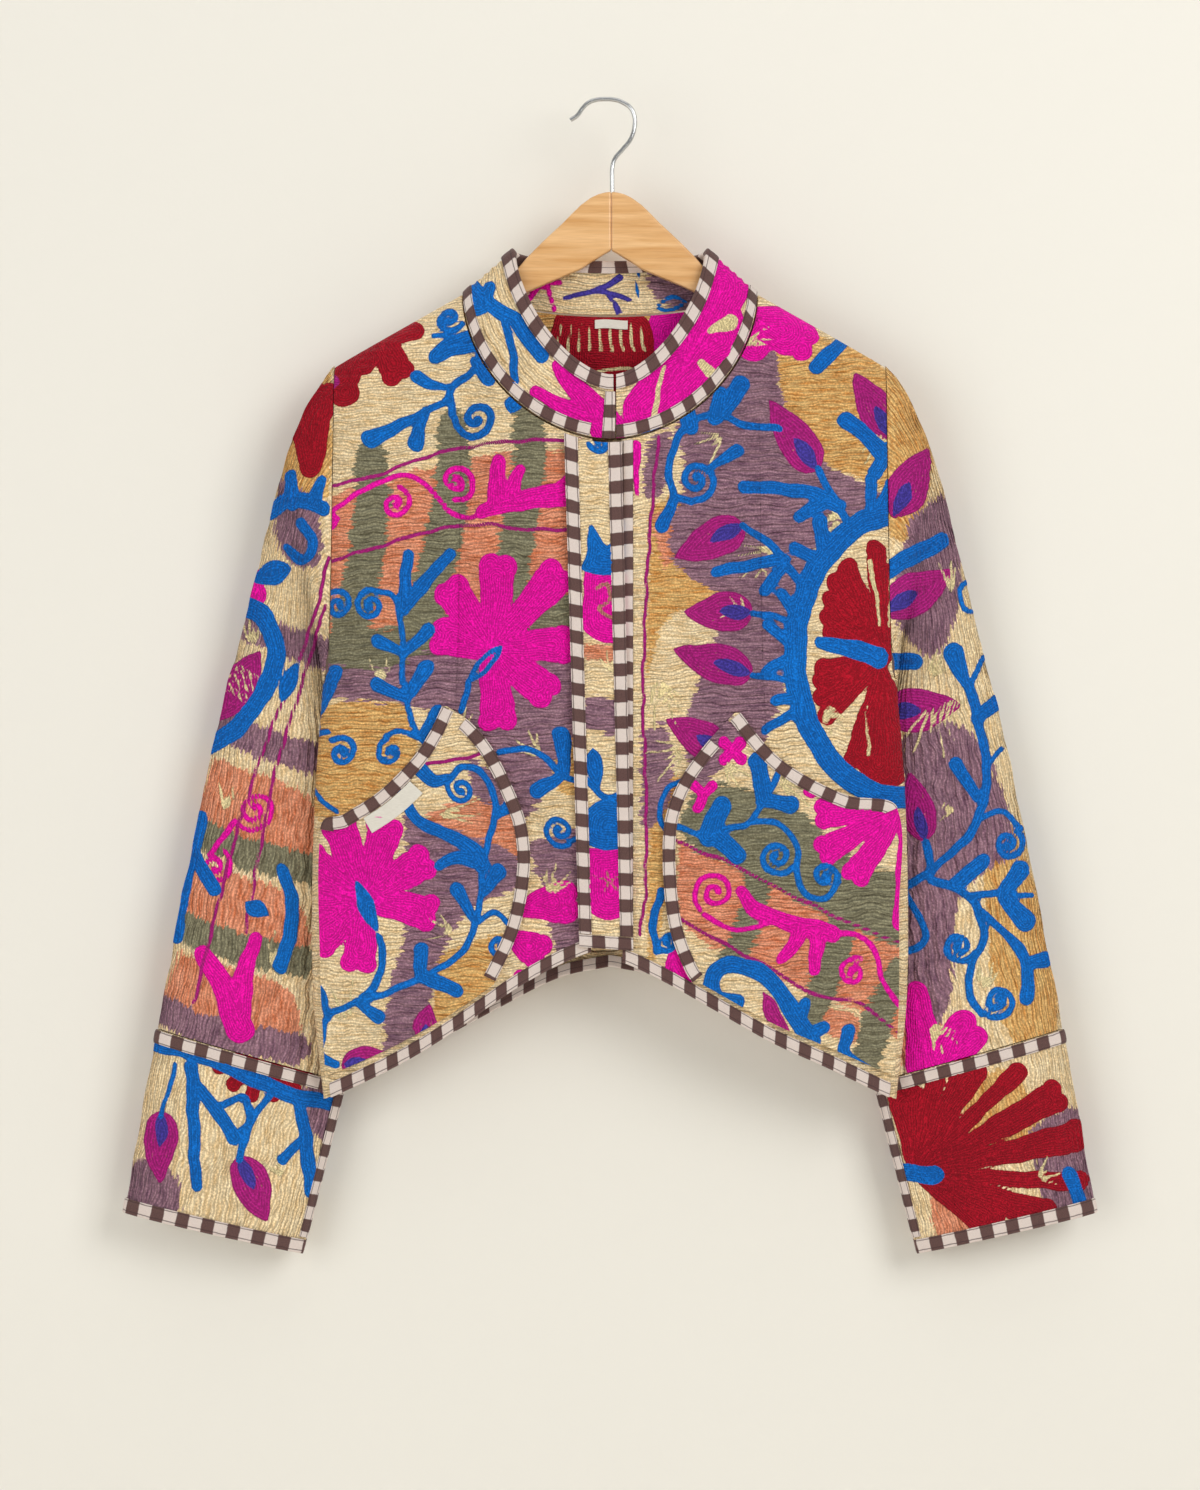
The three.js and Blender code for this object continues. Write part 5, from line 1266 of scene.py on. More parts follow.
# The collar. A band cut on a curve, sewn round the neck and open at the centre front, where its right end
# laps just short of the left one.
COLLAR_TOP_HALF, COLLAR_SIDE_Z, COLLAR_DROP = 76.0, -119.0, 100.0
COLLAR_FRONT_Y, COLLAR_BACK_Y, COLLAR_BACK_Z = -20.0, 13.0, -126.0
COLLAR_SPAN = 0.34
COLLAR_BELLY = 2.5
COLLAR_ENDS = {"right": -2.6, "left": 4.8}


def collar_edges(u):
    u = np.asarray(u, float)
    hand = np.where(u < 0.5, -1.0, 1.0)
    end_x = np.where(u < 0.5, COLLAR_ENDS["right"], COLLAR_ENDS["left"])
    along = np.minimum(u, 1 - u) / COLLAR_SPAN
    last = np.where(end_x > 0, neck_angle(COLLAR_ENDS["left"]), math.pi / 2)
    extra = np.maximum(-end_x, 0)
    level = extra / 170
    angle = last * (1 - np.clip((along - level) / (1 - level), 0, 1))
    past = np.where(extra > 0, extra * np.maximum(1 - along / np.maximum(level, 1e-9), 0), 0)
    turn = np.arcsin(neck_share(angle))
    seam = on_body(hand * turn - hand * past / SHARE_WIDTH, neck_z(angle), -1, -CLOTH / 2)
    end = np.maximum(end_x, 0)
    least = bowed(np.cos(last), 1.6)
    part = (bowed(np.cos(angle), 1.6) - least) / (1 - least)
    x = hand * (between(end, COLLAR_TOP_HALF, part) - past)
    top = np.stack([CENTRE_X + x, COLLAR_FRONT_Y * np.sqrt(np.abs(np.sin(angle))),
                    COLLAR_SIDE_Z - COLLAR_DROP * bowed(np.sin(angle), 1.6)], -1)
    across = np.clip((u - COLLAR_SPAN) / (1 - 2 * COLLAR_SPAN) * 2 - 1, -1, 1)
    share = NECK_SHARE * np.sin(across * math.pi / 2)
    behind = on_body(np.arcsin(share), NECK_Z - BACK_DIP * (1 - (share / NECK_SHARE) ** 2), 1, -CLOTH / 2)
    bend = np.cos(across * math.pi / 2)
    over = np.stack([CENTRE_X + COLLAR_TOP_HALF * np.sin(across * math.pi / 2),
                     COLLAR_BACK_Y * np.abs(bend) ** 0.6, between(COLLAR_SIDE_Z, COLLAR_BACK_Z, bend)], -1)
    front = ((u < COLLAR_SPAN) | (u > 1 - COLLAR_SPAN))[..., None]
    return np.where(front, seam, behind), np.where(front, top, over)


def collar_plain(u, v):
    u, v = np.broadcast_arrays(np.asarray(u, float), np.asarray(v, float))
    seam, top = collar_edges(u)
    width = np.linalg.norm(seam - top, axis=-1)
    place = between(top, seam, (v * (1 - 1.5 / width))[..., None])
    belly = COLLAR_BELLY * np.sin(math.pi * v)
    out = np.sign(place[..., 0] - CENTRE_X)
    place[..., 0] += out * belly * np.abs(np.sin(2 * math.pi * u)) / 2
    place[..., 1] -= belly * np.cos(2 * math.pi * u) / 2
    return place


COLLAR_AT = raised_from(collar_plain, 1)
COLLAR_DESIGN = [
    # the right side: blue forks on the plain ground, then magenta towards the front
    *strokes("blue",
         (12, 12, (-13.4, 18.6), (-12, 20.4), (-10.4, 21.6), (-9, 22.2), (-8, 23.8), (-6.4, 26)),
         (14, 10, (-13.8, 20.6), (-12.4, 21), (-11.6, 19)),
         (6, 7, (-10.2, 21.8), (-9.4, 25), (-9, 28.4))),
    ("blue", leaf(-11.8, 27.8, 105, 28, 13, 0.6)),
    *strokes("magenta", (12, 28, (-4.6, 27), (-2.8, 29.4), (-1, 31.4), (0.4, 33.4)),
         (9, 18, (-7, 29.6), (-4.4, 31), (-1, 32.6))),
    # the left side: large magenta petals with slits of the ground between them
    *flower("magenta", 8.4, 26, [(64, 92, 2), (86, 60, 1), (-120, 46, 2), (-152, 50, 2), (-94, 30, 1), (30,
        56, 2)], 34, 44),
    ("magenta", vine([(4, 31.4), (8, 27.4), (11, 23)], 36, 40)),
    *strokes("cream", (5, 13, (10.6, 23.4), (12.6, 22.6)), (3, 5, (6, 27), (5.2, 30), (4.8, 33)),
         (6, 9, (9.6, 26.6), (10.6, 27.6))),
    ("blue", vine([(3.4, 34.2), (5.6, 32.8)], 3.4, 3.4)),
    # round the back of the neck
    ("mauve", vine([(6, 17), (9, 18)], 46, 46)),
    *strokes("blue", (5, 5, (-5, 19.4), (-1, 18.6), (4, 19)), (6, 9, (-2, 18.8), (-3.4, 17)),
         (6, 9, (0, 18.6), (1, 20.4))),
]
COLLAR_LINING = [
    ("mauve", vine([(7, 17.6), (11, 21)], 40, 40)),
    *strokes("magenta", (5, 4, (-8, 20), (-6, 18.4), (-5.2, 21)), (4, 4, (-7, 18.4), (-4.4, 18))),
    *strokes("violet", (4, 4, (-4, 19.6), (0, 19), (2.6, 20)), (4, 6, (-1, 19), (1.6, 17.6)),
         (4, 5, (0.4, 19.2), (1.4, 21.2))), ("blue", vine([(3.4, 17), (3.2, 21.6)], 3, 3)),
    ("blue", line_round(leaf(5, 20.6, 10, 26, 14, 0.5), 3)),
]
quilted_piece("band_collar", lambda u, v, height: COLLAR_AT(u, v, CLOTH / 2 + height), 220, 26,
              COLLAR_DESIGN,
              "collar", cut=(0.50, 0.11),
              flip=True, coarse=1, marks=lambda u, v, places: (v * 50, u * 500), seed=31,
              lining=COLLAR_LINING)

# The placket. A strip sewn over the opening onto the right front, which covers the left front's bound edge.
PLACKET_LIFT = 2.2
PLACKET = {"top": (-36, 9), "foot": (-24, 18), "foot_z": (-664, -667)}


def on_front(x, z, height):
    return on_body(np.arcsin(np.clip(x / body_half(z), -1, 1)), z, -1, height)


def placket_at(u, v, height):
    x = between(between(PLACKET["top"][0], PLACKET["foot"][0], v),
                between(PLACKET["top"][1], PLACKET["foot"][1], v), u)
    top = neck_z(neck_angle(x)) - 2.5
    return on_front(x, between(top, between(*PLACKET["foot_z"], u), v), PLACKET_LIFT + CLOTH + height)


PLACKET_DESIGN = [
    ("mauve", patch([(-2, 60.4), (3, 60.4), (3, 63.4), (-2, 63.4)])),
    ("magenta", patch([(-2, 47.4), (3, 47), (3, 54.2), (-2, 53.8)])),
    ("ochre_fleck", vine([(-0.9, 49.4), (0.2, 48.8), (0.4, 50.4), (-0.6, 51.4), (1.2, 52.2), (1.4, 50)], 3,
                         3)),
    ("blue", patch([(-2, 46.4), (-1.4, 43), (0.2, 45), (1.6, 42.4), (3, 44), (3, 47.6), (-2, 47.8)])),
    ("blue", spiral(-0.6, 34.6, 9, 200, 0.9, 1, 5)),
    ("blue", vine([(-1.8, 68.6), (0, 70.2), (2.6, 69.6)], 6, 6)),
    ("blue", leaf(-0.6, 69.6, 100, 34, 15, 0.6)),
    ("blue", leaf(1.2, 70.2, -80, 30, 13, 0.6)),
    ("blue", leaf(2.2, 39.4, 80, 16, 9, 0.5)),
    ("blue", patch([(-2, 71.6), (0, 70.4), (3, 71.4), (3, 75), (-2, 75)])),
    ("magenta", patch([(-2, 75.4), (3, 75.4), (3, 81), (0.6, 82.4), (-2, 81)])),
    *scribble(0.4, 78.4, 90, 14, 5, 300, "ochre_fleck"), *scribble(0.4, 57.6, 60, 18, 5, 120),
    ("salmon", patch([(-2, 55), (3, 55), (3, 56.4), (-2, 56.4)])),
]
quilted_piece("placket_strip", placket_at, 20, 160, PLACKET_DESIGN, "placket", cut=(0.043, 0.398),
              marks=level_rows, seed=37)

# The pockets. Two patches with slanting bound openings, sewn to the fronts down the side seams and along the
# hem.
POCKET_LIFT = 0.95
POCKETS = {
    "right": {
        "v": [0, 0.12, 0.24, 0.36, 0.48, 0.60, 0.80, 1],
        "side_x": [-131, -141, -155, -179, -207, -225, -226, -222],
        "side_z": [-477, -498, -519, -543, -561, -573, -680, -768],
        "inner_x": [-127, -109, -92, -76, -65, -62.5, -71, -93],
        "inner_z": [-477, -489, -509, -540, -570, -603, -650, -698],
    },
    "left": {
        "v": [0, 0.12, 0.24, 0.36, 0.48, 0.70, 0.86, 1],
        "side_x": [101, 121, 144, 183, 223, 225, 225, 222],
        "side_z": [-482, -507, -526, -546, -556, -640, -710, -767],
        "inner_x": [97, 74, 54.5, 42.7, 41, 46.6, 58, 66],
        "inner_z": [-482, -507, -534, -565, -604, -651, -682, -694],
    },
}
TAPE_WIDE = 10.0


def pocket_at(side, hem):
    table = POCKETS[side]

    def at(u, v, height):
        side_x, side_z, inner_x, inner_z = (read_off(table["v"], table[k], v)
                                            for k in ("side_x", "side_z", "inner_x", "inner_z"))
        x = between(side_x, inner_x, u)
        foot = read_off(*hem, np.abs(x)) + TAPE_WIDE + 4
        straight = between(side_z, inner_z, u)
        z = between(straight, np.maximum(straight, foot), v)
        z = np.where(v == 1, foot, z)
        return on_front(x, z, POCKET_LIFT + CLOTH + height)
    return at


RIGHT_POCKET_DESIGN = [
    ("mauve", patch([(-20, 72), (-14, 74), (-9, 76), (-9, 79), (-14, 82), (-17, 88), (-18, 98),
                     (-21.6, 100),
                     (-22, 92), (-20, 84), (-20, 78)])),
    ("salmon", patch([(-19, 72.6), (-12, 70), (-9.2, 72), (-8.6, 77.4), (-12, 79), (-18, 78.4)])),
    ("ochre", patch([(-17, 86), (-10, 84), (-9, 88), (-12, 95.6), (-17, 96)])),
    ("mauve", patch([(-13.6, 66.4), (-11, 68), (-10.2, 71.4), (-13, 70)])),
    ("plum", vine([(-18, 66.8), (-15.4, 66.6), (-11.6, 65.6)], 3, 3)),
    *scribble(-17, 72, 0, 40, 4, 30), *scribble(-26, 93, 100, 40, 6, 80),
    *scribble(-15, 84, 150, 26, 4, 60),
    # the flower against the side seam
    *flower("magenta", -24, 80.4, [(110, 70, 2), (74, 68, 2), (33, 64, 2), (-12, 60, 2), (-96, 60, 2),
                                   (-138, 60, 2),
                                   (178, 56, 2), (146, 62, 2)], 16, 29),
    ("blue", leaf(-25, 78.6, -66, 44, 14, 0.5)),
    # stems, tendrils and leaves
    *strokes("blue", (12, 8, (-18.4, 67.4), (-17, 68.6), (-15.6, 68.4)),
         (5.4, 5.4, (-15.4, 68.4), (-14.2, 67.2), (-12.6, 67.4), (-11.4, 69.4), (-10.9, 72.1),
          (-11.8, 75), (-12.3, 78.7), (-12.9, 82.7), (-14.6, 86), (-17, 87.6), (-20.9, 89.4),
          (-25.2, 91), (-27.9, 92.4), (-28.8, 96.4))),
    ("blue", spiral(-14.4, 69.4, 11, 160, 1.3, 1, 4.4)),
    *strokes("blue", (8, 13, (-20.4, 70), (-18.8, 72.3), (-16.2, 73.8), (-13.4, 75.2), (-12.2, 77)),
         (12, 9, (-12.8, 76.6), (-14.6, 76.2), (-16.4, 77)), (7, 13, (-12.2, 79.8), (-10.6, 77.7)),
         (6, 12, (-13, 82.4), (-14.8, 79.5)), (5, 5, (-10.8, 72.2), (-9.4, 70.2)),
         (4.4, 4.4, (-10.9, 72.4), (-9, 71.2)), (5, 4.6, (-12.8, 82.7), (-10.9, 81.8), (-9.2, 83.2))),
    ("blue", spiral(-10.6, 85, 11, 40, 1.2, -1, 4.6)),
    *strokes("blue", (10, 12, (-18.4, 88.2), (-18.4, 85.4)), (11, 12, (-18, 88.2), (-15, 89.5)),
         (6, 6, (-22.6, 84.2), (-22.2, 86.8), (-23.2, 89.2), (-24.4, 90.4)),
         (6, 11, (-25, 90.8), (-22.6, 92.2)), (6, 6, (-30, 88), (-28.4, 90.2), (-27.8, 92.4)),
         (9, 7, (-29, 96.4), (-27, 97))),
    *bud(-26.4, 97.2, 8, 48, 26), *bud(-18.2, 94.6, 80, 30, 20),
]
LEFT_POCKET_DESIGN = [
    ("olive", patch([(8.6, 70), (12, 69), (18, 70.4), (22, 74), (26, 77), (30, 78.4), (31, 85), (24, 83),
                     (16, 78.6), (8, 74.6)])),
    ("salmon", patch([(7.2, 74.6), (13, 77), (20, 80.6), (31, 85.2), (31, 95), (25, 91.4), (16, 87.6),
                      (8, 83)])),
    ("ochre", patch([(16, 76.4), (19, 77.4), (20.4, 81), (16.4, 79.6)])),
    *strokes("olive", (21, 19, (15.4, 76.4), (14.6, 82), (12.6, 86.4)),
         (22, 22, (24.4, 80), (23, 86), (20.6, 92)), (24, 24, (29.6, 88), (27.6, 92), (26, 97.6))),
    ("salmon", patch([(22, 91), (25.4, 92.4), (25, 95), (21, 93)])),
    ("mauve", patch([(11, 62), (14, 63.6), (11, 68), (9, 68.6)])),
    *scribble(17, 68, -30, 40, 6, 60), *scribble(12, 66.6, -60, 26, 4, 50),
    *scribble(19.6, 97, 80, 30, 4, 60),
    # two fine lines and the vine of magenta between them
    *strokes("plum",
         (3, 3, (7, 74.6), (10, 75.8), (13.3, 77.1), (16.6, 79), (20.9, 81.1), (26.4, 83.6), (30.6, 85.2)),
         (3, 3, (7, 82), (11.7, 84.8), (16.6, 87.3), (20.9, 90), (25.5, 90.9), (30.6, 94.8))),
    ("magenta", vine([(16.8, 82.8), (12.6, 83.4), (9.9, 81.8)], 4, 4)),
    ("magenta", spiral(10.9, 79.7, 17, -130, 1.6, -1, 4.2)),
    *strokes("magenta", (10, 15, (13.6, 79.6), (15, 81.4), (18, 82.6), (22.6, 83.8)),
         (14, 8, (19.6, 83.4), (18.6, 85.2), (17.6, 86.4)), (14, 9, (21.2, 84), (21, 87.6)),
         (5, 4, (22.4, 83.6), (25.4, 84.2), (27.2, 86), (28, 89), (30.4, 92.2))),
    ("magenta", spiral(24.9, 87.8, 12, 60, 1.4, 1, 4)),
    # the petals that hang from the opening
    *flower("magenta", 30.2, 71, [(186, 74, 2), (209, 82, 2), (234, 76, 2), (268, 100, 1)], 9, 24),
    ("magenta", leaf(20.6, 70.4, 90, 12, 15, 0.5)),
    *flower("magenta", 12.7, 65.6, [(50, 14, 1), (140, 14, 1), (-40, 14, 1), (-130, 14, 1)], 8, 16),
    *flower("magenta", 9.8, 69.8, [(40, 13, 1), (140, 14, 1), (-110, 16, 1)], 8, 15),
    # a sprig with two tendrils
    *strokes("blue", (5, 5, (17.6, 67.4), (16, 70.4), (14.5, 72.6), (12.7, 73.3), (9.9, 73.9), (7.2, 73.2)),
         (14, 13, (15.8, 70.4), (15.4, 67), (15.1, 66.5)), (10, 14, (15.8, 70.6), (18.5, 70.9)),
         (18, 16, (10.4, 74), (11.6, 71.2)), (16, 14, (10.6, 73.8), (13.2, 76)),
         (5, 5, (14.5, 72.6), (17.3, 72.9), (19.1, 75), (19.3, 78.4), (20.3, 80.2), (22.2, 80.2),
          (23.4, 78))),
    ("blue", spiral(17.2, 76.2, 14.5, -30, 1.5, -1, 4.8)),
    ("blue", spiral(22, 78.2, 11, -20, 1.2, 1, 4.8)),
    # a thick hooked stem by the hem
    *strokes("blue",
         (12, 15, (13.2, 90.6), (11.2, 90.4), (10.6, 88.6), (12.2, 87), (15.4, 87.6), (17.8, 90.2),
          (19.4, 92.6), (20.6, 94.8)), (10, 9, (19.6, 92.6), (20, 90.8)),
         (10, 9, (20.4, 94), (22, 93.2))),
    ("plum", patch([(15.6, 89.6), (17.2, 91), (18.6, 94.2), (16.2, 92.6)])),
    ("blue", vine([(24.4, 93.6), (24, 95.8), (27, 98)], 11, 7)),
]
POCKET_DESIGNS = {"right": RIGHT_POCKET_DESIGN, "left": LEFT_POCKET_DESIGN}
for side, hem in (("right", RIGHT_HEM), ("left", LEFT_HEM)):
    quilted_piece(f"patch_pocket_{side}", pocket_at(side, hem), 78, 116, POCKET_DESIGNS[side],
                  f"pocket_{side}",
                  cut=(0.19, 0.292),
                  flip=side == "left", marks=level_rows,
                  seed=41)

# The binding tapes. Strips of a checked cotton, one row of dark and pale squares, that close every raw edge:
# folded over the hems and slits and laid flat along the seams, sewn down by a line of small stitches.
TAPE_THICK = 1.1
TAPE_STEP = 2.4
CHECK_LONG = 10.2


def checked_tape():
    made = new_material("checked_tape")
    tree = made.node_tree

    place = object_place(tree)
    worn = noise(tree, place, 160.0, 3.0)
    shift = math_node(tree, "MULTIPLY", math_node(tree, "SUBTRACT", worn, 0.5), 1.6)
    run_mm = math_node(tree, "ADD", mark_of(tree, "run"), shift)
    across = math_node(tree, "ADD", mark_of(tree, "across"), math_node(tree, "MULTIPLY", shift, 0.7))
    wave = math_node(tree, "SINE", math_node(tree, "MULTIPLY", run_mm, math.pi / CHECK_LONG))
    square = stretched(tree, wave, -0.1, 0.1)
    middle = math_node(tree, "ABSOLUTE", math_node(tree, "SUBTRACT", across, TAPE_WIDE / 2))
    from_line = math_node(tree, "ABSOLUTE", math_node(tree, "SUBTRACT", middle, 3.9))
    line = stretched(tree, from_line, 0.25, 0.55, 1.0, 0.0)
    threads = noise(tree, place, 1500.0, 1.0)
    dark = blend_colours(tree, threads, srgb("#4f3836"), srgb("#73544f"))
    pale = blend_colours(tree, threads, srgb("#d8c6bd"), srgb("#efe3db"))
    colour = blend_colours(tree, square, dark, pale)
    colour = blend_colours(tree, math_node(tree, "MULTIPLY", line, 0.75), colour, srgb("#4a3432"))
    weave = use_group(tree, WOVEN_THREADS, Along=run_mm, Across=across)
    stitch = math_node(tree, "MULTIPLY", math_node(tree, "SINE", math_node(tree, "MULTIPLY", run_mm, 2.1)),
                       math_node(
        tree, "LESS_THAN", math_node(tree, "ABSOLUTE", math_node(tree, "SUBTRACT", middle, 4.4)), 0.35))
    height = math_node(tree, "ADD", math_node(tree, "MULTIPLY", weave, 0.35),
                       math_node(tree, "MULTIPLY", stitch, 0.5))
    bump = add_node(tree, "ShaderNodeBump", {"Height": height, "Strength": 0.8, "Distance": 0.0004})
    return finish_material(made, Base_Color=colour, Roughness=0.86, Sheen_Weight=0.15,
                           Specular_IOR_Level=0.25,
                           Normal=bump.outputs[0])


def woven_threads():
    """The over and under of a plain weave, from places in mm along and across it."""
    made, given, out = new_group("woven threads", ("Along", "Across"), "Height")
    warp = math_node(made, "SINE", math_node(made, "MULTIPLY", given.outputs["Along"], 9.0))
    weft = math_node(made, "SINE", math_node(made, "MULTIPLY", given.outputs["Across"], 9.0))
    made.links.new(math_node(made, "MULTIPLY", warp, weft), out.inputs["Height"])
    return made


WOVEN_THREADS = woven_threads()
CHECKED_TAPE = checked_tape()


def tape_section(folded, wide, base, behind, edge_gap):
    """The outline of a tape's cut end: w inwards from the edge, height, and how far across the tape it is."""
    over = base + TAPE_THICK
    crown = [(w, base + TAPE_THICK * (0.3 + 0.7 * (1 - abs(2 * w / wide - 1) ** 4)), w)
             for w in np.linspace(wide, 0, 9)]
    if not folded:
        return [*crown, (0, base, 0), (wide, base, wide)]
    middle, half = (over - behind - TAPE_THICK) / 2, (over + behind + TAPE_THICK) / 2
    reach = edge_gap + TAPE_THICK
    front = [(w, h if w > 1 else over, k) for w, h, k in crown[:-1]]
    turn = [(-reach * bowed(math.cos(a), 3), middle + half * bowed(math.sin(a), 3), -reach * 2 * k / 6)
            for k, a in enumerate(np.linspace(math.pi / 2, -math.pi / 2, 7))]
    return [*front, *turn, (wide * 0.8, -behind - TAPE_THICK, wide * 0.8),
            (wide * 0.8, -behind, wide * 0.8),
            (-edge_gap, -behind, 0), (-edge_gap, base, 0), (wide, base, wide)]


def face_outwards(degrees):
    """Turns the picked piece's faces outwards and shades them smooth up to an angle."""
    bpy.ops.object.mode_set(mode="EDIT")
    bpy.ops.mesh.select_all(action="SELECT")
    bpy.ops.mesh.normals_make_consistent(inside=False)
    bpy.ops.object.mode_set(mode="OBJECT")
    bpy.ops.object.shade_smooth_by_angle(angle=math.radians(degrees))


def binding(name, node, at, long, folded=True, start=0.0, wide=TAPE_WIDE, base=1.0, behind=CLOTH + 0.5,
            edge_gap=SEAM):
    """A tape whose places come from at(t, w, height), t running over its length."""
    section = tape_section(folded, wide - start, base, behind, edge_gap)
    count = max(int(long / TAPE_STEP), 6)
    t = np.linspace(0, 1, count + 1)[:, None]
    w = np.array([row[0] + start for row in section])[None, :]
    height = np.array([row[1] for row in section])[None, :]
    across = np.array([row[2] for row in section])[None, :]
    t, w, height, across = np.broadcast_arrays(t, w, height, across)
    pucker = 0.16 * np.sin(t * long / 3.1) + 0.1 * np.sin(t * long / 7.3 + 1)
    places = at(t, w, height + np.where(height > base, pucker * 0.6, 0))
    steps = np.linalg.norm(np.diff(places.mean(axis=1), axis=0), axis=1)
    run = np.broadcast_to(np.concatenate([[0.0], np.cumsum(steps)])[:, None], t.shape)
    size = len(section)
    faces = []
    for i in range(count):
        for k in range(size):
            m = (k + 1) % size
            faces.append((i * size + k, i * size + m, (i + 1) * size + m, (i + 1) * size + k))
    faces.append(tuple(range(size))[::-1])
    faces.append(tuple(count * size + k for k in range(size)))
    piece = new_piece(name, places, faces, {"run": run, "across": across})
    face_outwards(50)
    piece.data.materials.append(CHECKED_TAPE)
    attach(piece, "root")
    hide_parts(node)


def hem_at(panel, first, last):
    return lambda t, w, height: panel(between(first, last, t), np.ones_like(t), height, w)


for side, at in (("right", FRONT_RIGHT_AT), ("left", FRONT_LEFT_AT)):
    binding(f"hem_binding_{side}", f"hem_tape_{side}", hem_at(at, 0.1, 1), 250)
binding("hem_binding_back", "hem_tape_back", hem_at(back_at, 0.05, 0.95), 470)


def shoulder_at(hand):
    def at(t, w, height):
        share = between(NECK_SHARE + 0.012, 0.965, t)
        return on_body(hand * np.arcsin(share), shoulder_z(share) - 1.5 - w, 1, height)
    return at


for side, hand in (("right", -1), ("left", 1)):
    binding(f"shoulder_binding_{side}", f"shoulder_tape_{side}", shoulder_at(hand), 112, folded=False)

# The collar's tapes: folded over its top edge, laid flat along its seam and folded over its right end.
COLLAR_LONG = 500.0
COLLAR_SEAM_START = 0.04


def collar_width(u):
    seam, top = collar_edges(u)
    return np.linalg.norm(seam - top, axis=-1) - 1.5


def collar_top_at(t, w, height):
    return COLLAR_AT(t, w / collar_width(t), CLOTH / 2 + height)


def collar_seam_at(t, w, height):
    u = between(COLLAR_SEAM_START, 1, t)
    return COLLAR_AT(u, 1 - (w + 0.4) / collar_width(u), CLOTH / 2 + height)


def collar_end_at(t, w, height):
    v = between((TAPE_WIDE + 2) / collar_width(np.zeros(1)), 1, t)
    return COLLAR_AT(w / COLLAR_LONG, v, CLOTH / 2 + height)


binding("collar_top_binding", "collar_top_tape", collar_top_at, 470, base=1.4, behind=CLOTH + 0.9,
        edge_gap=0.8)
binding("collar_seam_binding", "collar_seam_tape", collar_seam_at, 520, folded=False)
binding("collar_end_binding", "collar_end_tape", collar_end_at, 34)


# The left front's edge is bound before the placket goes over it. The placket's own tapes lie on its face.
def front_edge_at(t, w, height):
    x = FRONT_EDGE["left"] + w
    return on_front(x, between(neck_z(neck_angle(x)) - 1.5, read_off(*LEFT_HEM, x) + TAPE_WIDE + 2, t),
                    height)


binding("front_edge_binding", "front_edge_tape", front_edge_at, 390, folded=False, start=0.2, wide=9,
        base=0.7)
PLACKET_WIDE, PLACKET_LONG = 42.0, 395.0
PLACKET_FOOT = 1 - (TAPE_WIDE + 0.6) / PLACKET_LONG
binding("placket_binding_right", "placket_tape_right",
        lambda t, w, height: placket_at(w / PLACKET_WIDE, t * PLACKET_FOOT, height), 384, folded=False,
        base=0.7)
binding("placket_binding_left", "placket_tape_left",
        lambda t, w, height: placket_at(1 - w / PLACKET_WIDE, t * PLACKET_FOOT, height), 384, folded=False,
        base=0.7)
binding("placket_binding_foot", "placket_tape_foot",
        lambda t, w, height: placket_at(t, 1 - w / PLACKET_LONG, height), 42, folded=False, base=0.7)


# The pockets' tapes, beside the curves of their openings and inner edges.
def beside(side, edge, turned, first, last):
    table = POCKETS[side]

    def curve(v):
        return read_off(table["v"], table[f"{edge}_x"], v), read_off(table["v"], table[f"{edge}_z"], v)

    def at(t, w, height):
        v = between(first, last, t)
        (x, z), (x0, z0), (x1,
                           z1) = curve(v), curve(np.maximum(v - 1e-3, 0)), curve(np.minimum(v + 1e-3, 1))
        long = np.hypot(x1 - x0, z1 - z0)
        return on_front(x - turned * w * (z1 - z0) / long, z + turned * w * (x1 - x0) / long,
                        POCKET_LIFT + CLOTH + height)
    return at


for side, hand, last, opening_long in (("right", -1, 0.6, 160), ("left", 1, 0.48, 155)):
    binding(f"pocket_opening_binding_{side}", f"pocket_opening_tape_{side}",
            beside(side, "side", -hand, 0, last), opening_long, folded=False)
    binding(f"pocket_inner_binding_{side}", f"pocket_inner_tape_{side}",
            beside(side, "inner", hand, 0.1, 0.97), 235, folded=False)

# The cuffs' tapes: flat along the seam with the sleeve, folded over the hem and over both edges of the slit.
CUFF_ROOM = (TAPE_WIDE + 2) / CUFF_AROUND
CUFF_REACH = CUFF_LONG - CUFF_GAP
CUFF_FOOT = 1 - (TAPE_WIDE + 2) / CUFF_REACH


def cuff_bindings(side, face):
    binding(f"cuff_top_binding_{side}", f"cuff_top_tape_{side}",
            lambda t, w, height: face(between(CUFF_ROOM, 1 - CUFF_ROOM, t), (w + 0.4) / CUFF_REACH, height),
            300,
            folded=False)
    binding(f"cuff_hem_binding_{side}", f"cuff_hem_tape_{side}",
            lambda t, w, height: face(t, 1 - w / CUFF_REACH, height), 300)
    binding(f"cuff_slit_back_binding_{side}", f"cuff_slit_back_tape_{side}",
            lambda t, w, height: face(w / CUFF_AROUND, t * CUFF_FOOT, height), 128)
    binding(f"cuff_slit_front_binding_{side}", f"cuff_slit_front_tape_{side}",
            lambda t, w, height: face(1 - w / CUFF_AROUND, t * CUFF_FOOT, height), 128)


for side, hand in (("right", -1), ("left", 1)):
    cuff_bindings(side, cuff_at(hand))

# The labels. Two small tabs of pale satin ribbon, both bare: one inside the back of the neck and one under the
# right pocket's opening tape.
NECK_TAB = {"left": -12.0, "right": 14.0, "top": -171.0, "foot": -178.0}
RIBBON_THICK = 0.8


